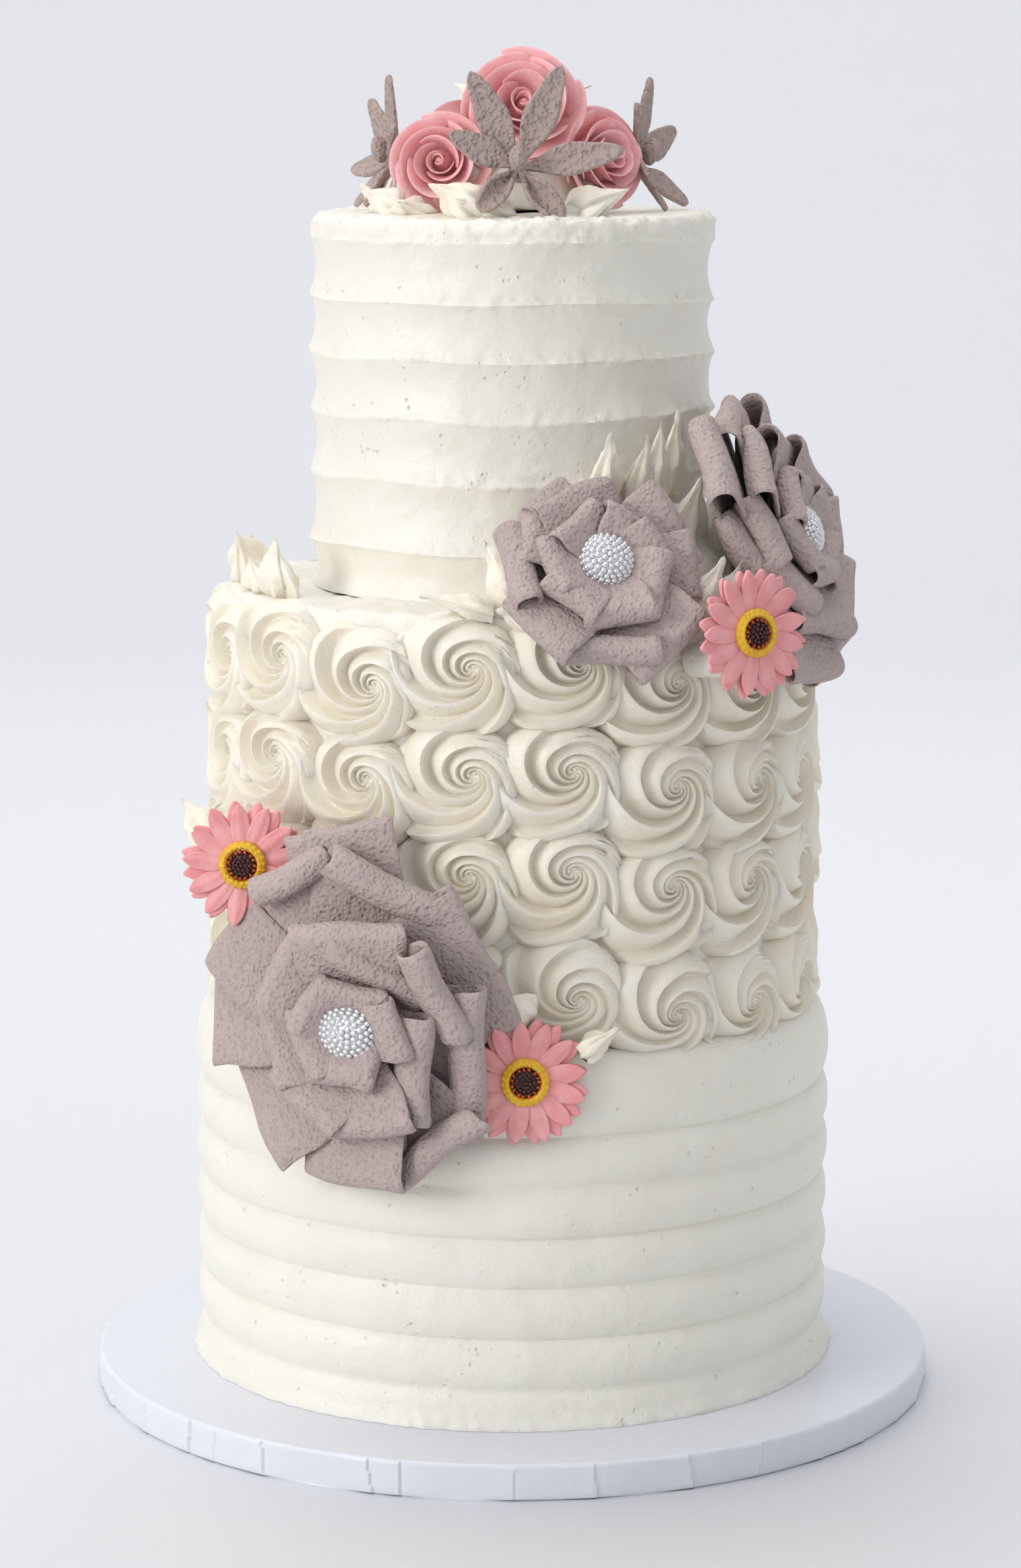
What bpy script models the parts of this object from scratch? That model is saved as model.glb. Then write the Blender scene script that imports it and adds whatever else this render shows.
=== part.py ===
"""Three-tier buttercream wedding cake on its drum board, dressed with folded-strip flowers, daisies and a bouquet.

Metres, +Z up. The origin is at the centre of the board's underside, and the front of the cake looks along -Y.
A place on the cake's side is given by its azimuth in degrees (0 at the front, positive to the right), its distance
from the cake's axis and its height. Every piece that rests on another keeps a gap of about 0.3 mm to it.
"""

import math

import bmesh
import bpy
from mathutils import Matrix, Vector

MM = 0.001
GAP = 0.3 * MM

# Driving dimensions: the board, and each tier's foot, top and radius.
DRUM_RADIUS, DRUM_HEIGHT = 152.4 * MM, 12.7 * MM
BOTTOM_FOOT, BOTTOM_TOP, BOTTOM_RADIUS = 13.0 * MM, 143.0 * MM, 115.2 * MM
MIDDLE_FOOT, MIDDLE_TOP, MIDDLE_RADIUS = 143.3 * MM, 293.0 * MM, 101.0 * MM
TOP_FOOT, TOP_TOP, TOP_RADIUS = 293.3 * MM, 425.0 * MM, 72.6 * MM

# Combed icing: how far apart the lines are, and how deep they are cut.
BOTTOM_PITCH, BOTTOM_CUT = 17.9 * MM, 2.4 * MM
TOP_PITCH, TOP_CUT = 20.4 * MM, 2.8 * MM

# Rosettes: four rows of swirls round the middle tier.
ROSETTE_COLUMNS = 18
ROSETTE_STEP = 360.0 / ROSETTE_COLUMNS
ROSETTE_START = 8.5
ROSETTE_BACK = 102.2 * MM
ROSETTE_SIZE = Vector((19.0 * MM, 18.0 * MM, 9.3 * MM))
ROSETTE_ROWS = (273.4 * MM, 236.8 * MM, 200.2 * MM, 163.6 * MM)
# Columns in front are piped a little lower or higher than the rest, counted from the column right of the middle.
COLUMN_SHIFT = {-3: -2.0, -2: -6.0, -1: 0.0, 0: 1.0, 1: -7.0, 2: -9.0, 3: -8.0}

HUB_RADIUS = 9.0 * MM

IVORY = (0.83, 0.79, 0.70, 1.0)
TAUPE = (0.36, 0.29, 0.27, 1.0)
ROSE_PINK = (0.80, 0.31, 0.33, 1.0)
DAISY_PINK = (0.83, 0.38, 0.41, 1.0)


def clear_scene():
    """Start from an empty scene."""
    for old in list(bpy.data.objects):
        bpy.data.objects.remove(old)


def material(name, colour, roughness=0.6, metallic=0.0):
    """A Principled material of one colour."""
    made = bpy.data.materials.new(name)
    made.use_nodes = True
    shader = made.node_tree.nodes["Principled BSDF"]
    shader.inputs["Base Color"].default_value = colour
    shader.inputs["Roughness"].default_value = roughness
    shader.inputs["Metallic"].default_value = metallic
    return made


def add_object(name, bm, paint=None):
    """Turn a finished bmesh into an object with its own material."""
    bmesh.ops.remove_doubles(bm, verts=bm.verts, dist=1e-6)
    bmesh.ops.recalc_face_normals(bm, faces=bm.faces)
    mesh = bpy.data.meshes.new(name)
    bm.to_mesh(mesh)
    bm.free()
    made = bpy.data.objects.new(name, mesh)
    bpy.context.scene.collection.objects.link(made)
    if paint:
        mesh.materials.append(material(name + "_finish", *paint))
    return made


def add_cutter(name, bm):
    """A helper that a Boolean reads and that is no piece of the cake."""
    helper = add_object(name, bm)
    helper.hide_render = True
    helper.display_type = "WIRE"
    return helper


def combine(piece, helper, operation="UNION", overlapping=False):
    """Boolean a helper into a piece; overlapping says that the piece's own shapes cross each other."""
    step = piece.modifiers.new(operation.lower(), "BOOLEAN")
    step.operation = operation
    step.solver = "EXACT"
    step.object = helper
    step.use_self = overlapping


def side_frame(azimuth, radius, height, facing=None, tilt=0.0, spin=0.0):
    """Matrix that puts local Z outward, Y up and X to the right on the cake's side.

    facing is the azimuth that Z looks to, tilt leans it up, and spin turns the piece about its own Z, all degrees.
    """
    place = math.radians(azimuth)
    look = math.radians(azimuth if facing is None else facing)
    origin = Vector((radius * math.sin(place), -radius * math.cos(place), height))
    turn = Matrix.Rotation(look, 4, "Z") @ Matrix.Rotation(math.radians(90.0 - tilt), 4, "X")
    return Matrix.Translation(origin) @ turn @ Matrix.Rotation(math.radians(spin), 4, "Z")


def ring_points(count, reach, height, start=0.0):
    """A level ring of points; reach is one radius or a function of the point's number."""
    points = []
    for k in range(count):
        angle = math.radians(start) + 2 * math.pi * k / count
        distance = reach(k) if callable(reach) else reach
        points.append(Vector((distance * math.cos(angle), distance * math.sin(angle), height)))
    return points


def skin(bm, loops, low_cap=True, high_cap=True):
    """Join rings into a closed skin; a ring may have fewer points than the next, down to a single point."""
    rings = [[bm.verts.new(point) for point in loop] for loop in loops]
    for low, high in zip(rings, rings[1:]):
        count = max(len(low), len(high))
        for k in range(count):
            after = (k + 1) % count
            corners = [
                low[k * len(low) // count],
                low[after * len(low) // count],
                high[after * len(high) // count],
                high[k * len(high) // count],
            ]
            bm.faces.new(list(dict.fromkeys(corners)))
    if low_cap and len(rings[0]) > 2:
        bm.faces.new(list(reversed(rings[0])))
    if high_cap and len(rings[-1]) > 2:
        bm.faces.new(rings[-1])


def turned(name, profile, segments, paint):
    """A solid turned round the cake's axis from (radius, height) points that run from foot to top."""
    bm = bmesh.new()
    points = [bm.verts.new((radius, 0.0, height)) for radius, height in profile]
    edges = [bm.edges.new(pair) for pair in zip(points, points[1:])]
    bmesh.ops.spin(
        bm,
        geom=points + edges,
        cent=(0, 0, 0),
        axis=(0, 0, 1),
        angle=2 * math.pi,
        steps=segments,
        use_merge=True,
    )
    return add_object(name, bm, paint)


def drum_board():
    """The round board, with a softly rounded upper edge."""
    edge = 1.2 * MM
    profile = [
        (0.0, 0.0),
        (DRUM_RADIUS - edge, 0.0),
        (DRUM_RADIUS, edge),
        (DRUM_RADIUS, DRUM_HEIGHT - edge),
        (DRUM_RADIUS - edge, DRUM_HEIGHT),
        (0.0, DRUM_HEIGHT),
    ]
    turned("cake_drum", profile, 44, ((0.80, 0.82, 0.86, 1.0), 0.4))


def bottom_tier():
    """Combed tier whose bands swell outward between thin cut lines, over a flared foot."""
    flare = 2.3 * MM
    shoulder = 9.0 * MM
    notch = BOTTOM_RADIUS - BOTTOM_CUT
    profile = [(0.0, BOTTOM_FOOT), (BOTTOM_RADIUS + flare, BOTTOM_FOOT)]
    line = BOTTOM_FOOT + 0.73 * BOTTOM_PITCH
    while line < BOTTOM_TOP - BOTTOM_PITCH:
        profile.append((notch, line))
        profile.append((BOTTOM_RADIUS, line + 0.5 * BOTTOM_PITCH))
        line += BOTTOM_PITCH
    top_band = profile[-1][1]
    profile.append((BOTTOM_RADIUS - 0.5 * BOTTOM_CUT, top_band + 0.45 * BOTTOM_PITCH))
    profile.append((BOTTOM_RADIUS - 0.45 * shoulder, BOTTOM_TOP - 0.25 * shoulder))
    profile.append((BOTTOM_RADIUS - shoulder, BOTTOM_TOP))
    profile.append((0.0, BOTTOM_TOP))
    turned("bottom_tier", profile, 34, (IVORY,))


def middle_tier():
    """Plain core that the rosettes are piped on."""
    lip = 2.0 * MM
    profile = [
        (0.0, MIDDLE_FOOT),
        (MIDDLE_RADIUS, MIDDLE_FOOT),
        (MIDDLE_RADIUS, MIDDLE_TOP - lip),
        (MIDDLE_RADIUS - lip, MIDDLE_TOP),
        (0.0, MIDDLE_TOP),
    ]
    turned("middle_tier", profile, 40, (IVORY,))


def top_tier():
    """Combed tier whose sharp ridges stand between hollow bands, with a smooth fillet at its foot."""
    valley = TOP_RADIUS - TOP_CUT
    profile = [(0.0, TOP_FOOT), (TOP_RADIUS + 1.5 * MM, TOP_FOOT)]
    ridge = TOP_FOOT + 0.83 * TOP_PITCH
    while ridge < TOP_TOP - 0.3 * TOP_PITCH:
        profile.append((valley, ridge - 0.5 * TOP_PITCH))
        profile.append((TOP_RADIUS, ridge))
        ridge += TOP_PITCH
    profile.append((TOP_RADIUS - 1.6 * MM, TOP_TOP - 2.2 * MM))
    profile.append((TOP_RADIUS - 5.5 * MM, TOP_TOP))
    profile.append((0.0, TOP_TOP))
    turned("top_tier", profile, 30, (IVORY,))


def ledge_clearance(radius):
    """Lowest height that a rosette may reach over the bottom tier's rounded shoulder."""
    over = max(0.0, radius - (BOTTOM_RADIUS - 9.0 * MM))
    return BOTTOM_TOP + 0.7 * MM - 0.28 * over


def rosette_point(azimuth, across, height, rise):
    """A point of the rosette layer, kept clear of the bottom tier's shoulder."""
    radius = ROSETTE_BACK + rise * ROSETTE_SIZE.z
    turn = math.radians(azimuth) + across / (ROSETTE_BACK + 0.5 * ROSETTE_SIZE.z)
    return Vector((radius * math.sin(turn), -radius * math.cos(turn), max(height, ledge_clearance(radius))))


def rosette_row(name, heights):
    """A closed chain of piped swirls; neighbours share the short edge where their rims meet.

    Each swirl has a round rim, a raised inner coil, a sunk heart and a back that follows the core.
    """
    wide, tall = ROSETTE_SIZE.x, ROSETTE_SIZE.y
    rim, side, flank = 0.42, 0.50, 0.52
    bm = bmesh.new()
    seams = []
    for column, height in enumerate(heights):
        azimuth = ROSETTE_START + ROSETTE_STEP * (column - 0.5)
        middle = 0.5 * (height + heights[column - 1])
        seam = [
            bm.verts.new(rosette_point(azimuth, 0.0, middle + end * side * tall, rise))
            for rise in (rim, 0.0)
            for end in (-1, 1)
        ]
        seams.append(seam)
    for column, height in enumerate(heights):
        azimuth = ROSETTE_START + ROSETTE_STEP * column
        left_low, left_high, left_back_low, left_back_high = seams[column]
        right_low, right_high, right_back_low, right_back_high = seams[(column + 1) % len(seams)]

        def own(across, up, rise, azimuth=azimuth, height=height):
            return bm.verts.new(rosette_point(azimuth, across * wide, height + up * tall, rise))

        high_right, high_left = own(flank, 1.0, rim), own(-flank, 1.0, rim)
        low_left, low_right = own(-flank, -1.0, rim), own(flank, -1.0, rim)
        back_high, back_low = own(0.0, 0.8, 0.0), own(0.0, -0.8, 0.0)
        outer = [right_low, right_high, high_right, high_left, left_high, left_low, low_left, low_right]
        coil = []
        for k in range(6):
            angle = math.radians(-8.0 + 60.0 * k)
            reach = 0.50 + 0.08 * math.cos(2 * angle + 1.3 * column)
            coil.append(own(reach * math.cos(angle), reach * math.sin(angle), 1.0))
        heart = own(0.06 * math.cos(column), 0.06 * math.sin(column), 0.62)
        for k in range(8):
            after = (k + 1) % 8
            corners = [outer[k], outer[after], coil[after * 6 // 8], coil[k * 6 // 8]]
            bm.faces.new(list(dict.fromkeys(corners)))
        for k in range(6):
            bm.faces.new((coil[k], coil[(k + 1) % 6], heart))
        bm.faces.new((right_high, right_back_high, back_high, high_right))
        bm.faces.new((high_right, back_high, high_left))
        bm.faces.new((high_left, back_high, left_back_high, left_high))
        bm.faces.new((left_low, left_back_low, back_low, low_left))
        bm.faces.new((low_left, back_low, low_right))
        bm.faces.new((low_right, back_low, right_back_low, right_low))
        bm.faces.new((right_back_low, back_low, back_high, right_back_high))
        bm.faces.new((back_low, left_back_low, left_back_high, back_high))
    add_object(name, bm, (IVORY,))


def rosette_rows():
    """Four rows of swirls, each column piped a little higher or lower than its neighbours."""
    for row, height in enumerate(ROSETTE_ROWS, start=1):
        heights = []
        for column in range(ROSETTE_COLUMNS):
            place = column if column < ROSETTE_COLUMNS / 2 else column - ROSETTE_COLUMNS
            shift = COLUMN_SHIFT.get(place, 3.0 * math.sin(2.1 * place)) * MM
            heights.append(height + shift)
        rosette_row(f"rosette_row_{row}", heights)


def folded_petal(place, reach, width, slope, roll, lift, loop):
    """The round loop along a folded strip's outer edge, as matching points at its two ends.

    place is the petal's direction in degrees; slope raises the fold, and roll lifts one end of it.
    """
    section = [
        (reach - 0.5 * loop, -0.5 * loop),
        (reach, -0.18 * loop),
        (reach, 0.18 * loop),
        (reach - 0.5 * loop, 0.5 * loop),
    ]
    pose = (
        Matrix.Rotation(math.radians(place), 4, "Z")
        @ Matrix.Translation((0, 0, lift))
        @ Matrix.Rotation(math.radians(-slope), 4, "Y")
        @ Matrix.Rotation(math.radians(roll), 4, "X")
    )
    ends = []
    for side in (-0.5, 0.5):
        ends.append([pose @ Vector((along, side * width * along / reach, up)) for along, up in section])
    return ends


def petal_layer(name, layer, put):
    """One layer of folded petals that grow from the sides of their hub.

    layer holds count, start angle, reach, width, slope, roll, lift, loop and the hub's two heights. Its trim
    shortens the petals of some directions, and its lean raises them. No petal is wider than its own sector has
    room for. put carries a point to its place on the cake.
    """
    bm = bmesh.new()
    count = layer["count"]
    step = 360.0 / count
    low, high = layer["hub"]
    corner = layer["start"] - 0.5 * step
    low_ring = [bm.verts.new(put(point)) for point in ring_points(count, HUB_RADIUS, low, corner)]
    high_ring = [bm.verts.new(put(point)) for point in ring_points(count, HUB_RADIUS, high, corner)]
    for k in range(count):
        place = layer["start"] + step * k
        trim = layer.get("trim", lambda angle: 1.0)(place)
        slope = layer["slope"] + layer.get("lean", lambda angle: 0.0)(place)
        reach = layer["reach"] * trim * (1.0 + 0.04 * math.sin(2.4 * k))
        room = 2.0 * reach * math.cos(math.radians(slope)) * math.tan(math.radians(0.5 * step - 2.0))
        width = min(layer["width"] * trim * (1.0 + 0.05 * math.sin(1.7 * k + 1.0)), room)
        ends = folded_petal(place, reach, width, slope, layer["roll"], layer["lift"], layer["loop"])
        sides = []
        for root, end in zip((k, (k + 1) % count), ends):
            sides.append([low_ring[root]] + [bm.verts.new(put(point)) for point in end] + [high_ring[root]])
        right, left = sides
        for here in range(len(right) - 1):
            bm.faces.new((right[here], right[here + 1], left[here + 1], left[here]))
        bm.faces.new(right)
        bm.faces.new(list(reversed(left)))
    bm.faces.new(list(reversed(low_ring)))
    bm.faces.new(high_ring)
    add_object(name, bm, (TAUPE, 0.7))


def beaded_button(name, where, height, radius=9.6 * MM):
    """The domed silver button in a flower's heart."""
    bm = bmesh.new()
    dome = 0.62 * radius
    loops = [
        ring_points(12, 0.92 * radius, height),
        ring_points(12, radius, height + 0.25 * dome),
        ring_points(12, 0.78 * radius, height + 0.72 * dome),
        ring_points(1, 0.0, height + dome),
    ]
    skin(bm, loops)
    bmesh.ops.transform(bm, matrix=where, verts=bm.verts)
    add_object(name, bm, ((0.62, 0.64, 0.66, 1.0), 0.25, 0.9))


def bend_round(azimuth, radius, height):
    """Map from a flower's flat plane to the cake's side, keeping sizes along the side."""

    def bend(point):
        turn = math.radians(azimuth) + point.x / radius
        distance = radius + point.z
        return Vector((distance * math.sin(turn), -distance * math.cos(turn), height + point.y))

    return bend


def large_flower():
    """Three layers of folded strips, draped round the cake's side over rosettes and bottom tier."""
    azimuth, height, back = -24.0, 156.0 * MM, 118.5 * MM
    wrap = bend_round(azimuth, back, height)
    layers = {
        "outer": dict(count=9, start=12, reach=56, width=40, slope=9, roll=7, lift=2.0, loop=8.0, hub=(-6.2, 6.0)),
        "middle": dict(count=8, start=30, reach=42, width=31, slope=20.5, roll=7, lift=7.6, loop=7.0, hub=(6.4, 13.0)),
        "inner": dict(count=6, start=5, reach=25, width=24, slope=34, roll=7, lift=12.8, loop=5.8, hub=(13.6, 20.2)),
    }
    layers["outer"]["trim"] = lambda angle: 0.84 if near(angle, -22.0, 38.0) else 1.0
    layers["outer"]["lean"] = lambda angle: 9.0 if near(angle, 135.0, 30.0) else 4.0 * near(angle, -22.0, 38.0)
    layers["middle"]["lean"] = lambda angle: 7.0 if near(angle, 135.0, 60.0) else 4.0 * near(angle, -22.0, 50.0)
    for name, layer in layers.items():
        petal_layer(f"flower_left_{name}_petals", in_metres(layer), wrap)
    where = side_frame(azimuth, back, height)
    beaded_button("flower_left_button", where, 21.9 * MM)


def near(angle, middle, reach):
    """Whether a direction lies within reach degrees of another."""
    return abs((angle - middle + 180.0) % 360.0 - 180.0) < reach


def in_metres(layer):
    """The layer's lengths in metres; its counts and angles stay."""
    made = dict(layer)
    for key in ("reach", "width", "lift", "loop"):
        made[key] = layer[key] * MM
    made["hub"] = tuple(value * MM for value in layer["hub"])
    return made


def front_flower():
    """Two layers of folded strips, leaning back on the ledge in front of the top tier."""
    where = side_frame(17.0, 99.0 * MM, 306.5 * MM, facing=14.0, tilt=30.0)
    layers = {
        "outer": dict(count=8, start=20, reach=36, width=27, slope=12, roll=8, lift=1.8, loop=7.0, hub=(-4.4, 5.8)),
        "inner": dict(count=6, start=8, reach=24, width=23, slope=22, roll=8, lift=7.9, loop=6.0, hub=(6.2, 13.2)),
    }
    layers["outer"]["trim"] = lambda angle: 0.80 if near(angle, -8.0, 45.0) else 1.0
    for name, layer in layers.items():
        petal_layer(f"flower_front_{name}_petals", in_metres(layer), lambda point: where @ point)
    beaded_button("flower_front_button", where, 14.5 * MM)


def right_flower():
    """Three layers of folded strips on the right of the ledge, turned to the cake's right side."""
    where = side_frame(58.0, 97.0 * MM, 310.0 * MM, facing=69.0, tilt=20.0)
    layers = {
        "outer": dict(count=9, start=15, reach=54, width=36, slope=10, roll=8, lift=1.8, loop=8.0, hub=(-1.6, 5.8)),
        "middle": dict(count=8, start=35, reach=40, width=30, slope=22, roll=8, lift=7.4, loop=7.5, hub=(6.2, 13.4)),
        "inner": dict(count=6, start=10, reach=25, width=24, slope=34, roll=8, lift=13.3, loop=6.0, hub=(13.8, 20.6)),
    }
    layers["outer"]["trim"] = lambda angle: 0.62 if near(angle, 185.0, 57.0) else 1.0
    layers["middle"]["trim"] = lambda angle: 0.80 if near(angle, 185.0, 57.0) else 1.0
    for name, layer in layers.items():
        petal_layer(f"flower_right_{name}_petals", in_metres(layer), lambda point: where @ point)
    beaded_button("flower_right_button", where, 22.5 * MM)


def daisy(name, where):
    """Two layers of flat petals, a beaded ring and a raised seed centre."""
    petals = 16
    lower, upper = 21.8 * MM, 21.0 * MM
    notch = 0.78

    def outline(reach, height, first_is_tip):
        """A ring of petal tips and the notches between them."""
        share = (1.0, notch) if first_is_tip else (notch, 1.0)
        return ring_points(2 * petals, lambda k: reach * share[k % 2], height)

    shape = bmesh.new()
    loops = [
        outline(lower, 0.0, True),
        outline(lower, 1.5 * MM, True),
        outline(upper, 2.0 * MM, False),
        outline(upper, 3.2 * MM, False),
    ]
    skin(shape, loops)
    bmesh.ops.transform(shape, matrix=where, verts=shape.verts)
    add_object(name + "_petals", shape, (DAISY_PINK, 0.6))
    ring = bmesh.new()
    hole, rim, foot, crest = 5.3 * MM, 8.6 * MM, 3.5 * MM, 6.2 * MM
    loops = [
        ring_points(14, hole, foot),
        ring_points(14, rim, foot),
        ring_points(14, rim - 0.8 * MM, crest),
        ring_points(14, hole, crest - 0.6 * MM),
        ring_points(14, hole, foot),
    ]
    skin(ring, loops, low_cap=False, high_cap=False)
    bmesh.ops.transform(ring, matrix=where, verts=ring.verts)
    add_object(name + "_ring", ring, ((0.85, 0.50, 0.03, 1.0), 0.4))
    seeds = bmesh.new()
    loops = [
        ring_points(10, hole - GAP, foot),
        ring_points(10, hole - GAP, foot + 1.6 * MM),
        ring_points(1, 0.0, foot + 2.6 * MM),
    ]
    skin(seeds, loops)
    bmesh.ops.transform(seeds, matrix=where, verts=seeds.verts)
    add_object(name + "_seeds", seeds, ((0.05, 0.015, 0.015, 1.0), 0.4))


def rose(name, where, size):
    """A rolled rose as one solid: nested rims of petals round a bud, narrowing to its stem."""
    bm = bmesh.new()
    rims = [
        (0.14, -0.75, 0.0, 0.00),
        (0.30, 0.00, 0.0, 0.00),
        (0.80, 0.26, 8.0, 0.05),
        (1.00, 0.78, 18.0, 0.07),
        (0.80, 0.80, 26.0, 0.06),
        (0.76, 1.12, 40.0, 0.06),
        (0.50, 1.00, 52.0, 0.05),
        (0.40, 1.30, 70.0, 0.05),
        (0.16, 1.16, 80.0, 0.00),
    ]
    loops = []
    for reach, rise, start, lobe in rims:

        def edge(k, reach=reach, lobe=lobe):
            return size * (reach + lobe * math.cos(2 * math.pi * k * 3 / 8))

        loops.append(ring_points(8, edge, size * rise, start))
    skin(bm, loops)
    bmesh.ops.transform(bm, matrix=where, verts=bm.verts)
    return add_object(name, bm, (ROSE_PINK, 0.45))


def star_flower(name, where, petals):
    """Pointed petals and their stem round a small bud; petals lists direction, length and rise of each."""
    bm = bmesh.new()
    for direction, length, rise in petals:
        tip = length * MM
        half, thick = 0.15 * tip, 0.9 * MM
        root, middle = 1.0 * MM, 0.42 * tip
        pose = Matrix.Rotation(math.radians(direction), 4, "Z") @ Matrix.Rotation(math.radians(-rise), 4, "Y")
        loops = [
            [Vector((root, 0, 0))],
            [Vector((middle, u, w)) for u, w in ((-half, 0), (0, -thick), (half, 0), (0, thick))],
            [Vector((tip, 0, 0))],
        ]
        start = len(bm.verts)
        skin(bm, loops)
        bm.verts.ensure_lookup_table()
        bmesh.ops.transform(bm, matrix=pose, verts=bm.verts[start:])
    hub = bmesh.new()
    stem = [point + Vector((0.0, -3.0 * MM, 0.0)) for point in ring_points(8, 2.2 * MM, -26.0 * MM, 5.0)]
    skin(hub, [stem, ring_points(8, 3.6 * MM, -3.0 * MM, 5.0), ring_points(8, 3.2 * MM, 2.0 * MM, 5.0)])
    bud = bmesh.new()
    loops = [
        ring_points(8, 1.6 * MM, 2.4 * MM),
        ring_points(8, 3.4 * MM, 6.0 * MM),
        ring_points(1, 0.0, 14.0 * MM),
    ]
    skin(bud, loops)
    for shape in (bm, hub, bud):
        bmesh.ops.transform(shape, matrix=where, verts=shape.verts)
    piece = add_object(name + "_petals", bm, (TAUPE, 0.7))
    combine(piece, add_cutter(name + "_hub", hub), overlapping=True)
    add_object(name + "_bud", bud, (TAUPE, 0.7))
    return piece


def piped_leaf(name, foot, tip, width):
    """A pulled peak of icing from its foot to its pointed tip, flattened against what it lies on."""
    bm = bmesh.new()
    along = tip - foot
    lies_down = abs(along.z) < 0.6 * along.length
    out = Vector((0.0, 0.0, 1.0)) if lies_down else Vector((foot.x, foot.y, 0.0)).normalized()
    across = along.cross(out).normalized()
    thick = across.cross(along).normalized()
    loops = []
    for share, half in ((0.0, 0.75), (0.32, 1.0), (0.72, 0.45)):
        centre = foot + share * along
        loop = []
        for k in range(5):
            angle = 2 * math.pi * k / 5
            loop.append(centre + half * width * (0.5 * math.cos(angle) * across + 0.3 * math.sin(angle) * thick))
        loops.append(loop)
    loops.append([tip])
    skin(bm, loops)
    add_object(name, bm, (IVORY,))


def on_side(azimuth, radius, height):
    """A point at an azimuth, a distance from the axis and a height, given in degrees and millimetres."""
    turn = math.radians(azimuth)
    return Vector((radius * math.sin(turn), -radius * math.cos(turn), height)) * MM


def piped_leaves():
    """Pulled peaks of icing tucked round the flowers, named in order from the bouquet down."""
    leaves = [
        (on_side(-62, 46, 427.6), on_side(-66, 57, 432.5), 11),
        (on_side(-75, 49, 427), on_side(-79, 42, 440), 10),
        (on_side(-16, 43, 428.0), on_side(-32, 53, 430.2), 12),
        (on_side(26, 50, 428.0), on_side(42, 56, 430.2), 12),
        (on_side(-130, 6, 461.5), on_side(-131, 29, 468.5), 8),
        (on_side(116, 9, 460.6), on_side(118, 32, 468.0), 8),
        (on_side(27, 75.2, 329), on_side(28, 78, 356), 10),
        (on_side(40, 75.2, 329.7), on_side(41, 78, 358), 10),
        (on_side(4, 97, 295.8), on_side(-6, 93, 317), 12),
        (on_side(-8, 99, 295.2), on_side(-16, 106, 299), 8),
        (on_side(-62, 92, 295.2), on_side(-58, 96, 313), 13),
        (on_side(-92, 94, 296.7), on_side(-84, 98, 311), 13),
        (on_side(15, 112.6, 142.5), on_side(19, 122, 153), 9),
        (on_side(-72, 114.9, 206), on_side(-80, 123, 218), 10),
    ]
    for number, (foot, tip, width) in enumerate(leaves, start=1):
        piped_leaf(f"icing_leaf_{number:02d}", foot, tip, width * MM)


def icing_bank():
    """The bank of icing on the right of the ledge that the two upper flowers are pressed on."""
    wall, floor = TOP_RADIUS + 2.0 * MM, MIDDLE_TOP + 0.5 * MM
    first, last, steps = 2.0, 92.0, 9
    loops = []
    for k in range(steps + 1):
        share = k / steps
        size = 0.35 + 0.65 * math.sin(math.pi * share) ** 0.6
        turn = math.radians(first + (last - first) * share)
        loop = []
        for out, up in ((0, 0), (28.0, 0), (20.5, 14.0), (8.5, 32.0), (0, 36.0)):
            radius = wall + size * out * MM
            loop.append(Vector((radius * math.sin(turn), -radius * math.cos(turn), floor + size * up * MM)))
        loops.append(loop)
    bm = bmesh.new()
    skin(bm, loops)
    add_object("icing_bank", bm, (IVORY,))


def dollop(name, where, offset, length, radius):
    """A plug of icing from a daisy's back to the rosettes behind it, pressed to their outer face."""
    bm = bmesh.new()
    face = ROSETTE_BACK + ROSETTE_SIZE.z + GAP
    loops = []
    for depth, share in ((0.5 * MM, 0.8), (0.5 * length, 1.0), (length, 0.8)):
        loops.append([where @ (point + offset) for point in ring_points(8, share * radius, -depth)])
    skin(bm, loops)
    for vert in bm.verts:
        distance = math.hypot(vert.co.x, vert.co.y)
        if distance < face:
            vert.co.xy *= face / distance
    add_object(name, bm, (IVORY,))


def daisies():
    """Three daisies: by the upper flowers, at the left edge, and over the seam of the two lower tiers."""
    upper = side_frame(37.4, 131.0 * MM, 288.0 * MM, facing=33.0, tilt=4.0)
    left = side_frame(-46.2, 127.0 * MM, 206.0 * MM, facing=-10.0, tilt=4.0)
    lower = side_frame(2.0, 116.2 * MM, 136.5 * MM, facing=3.0)
    daisy("daisy_upper", upper)
    daisy("daisy_left", left)
    daisy("daisy_lower", lower)
    dollop("icing_dollop_upper", upper, Vector((-9.0, -9.0, 0.0)) * MM, 20.0 * MM, 6.0 * MM)
    dollop("icing_dollop_left", left, Vector((0.0, -1.0, 0.0)) * MM, 26.0 * MM, 7.0 * MM)


def mound(name, grow, paint=None):
    """The dome of icing under the bouquet, or the same dome grown by a gap as a cutter."""
    foot = TOP_TOP + GAP
    outline = ((0.0, 0.0), (31.0, 0.0), (30.0, 8.0), (25.0, 19.0), (12.0, 32.0), (0.0, 36.0))
    profile = [(radius * MM + grow * (radius > 0), foot - grow + rise * MM * (1 + grow / MM / 18)) for radius, rise in outline]
    return turned(name, profile, 16, paint)


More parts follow.
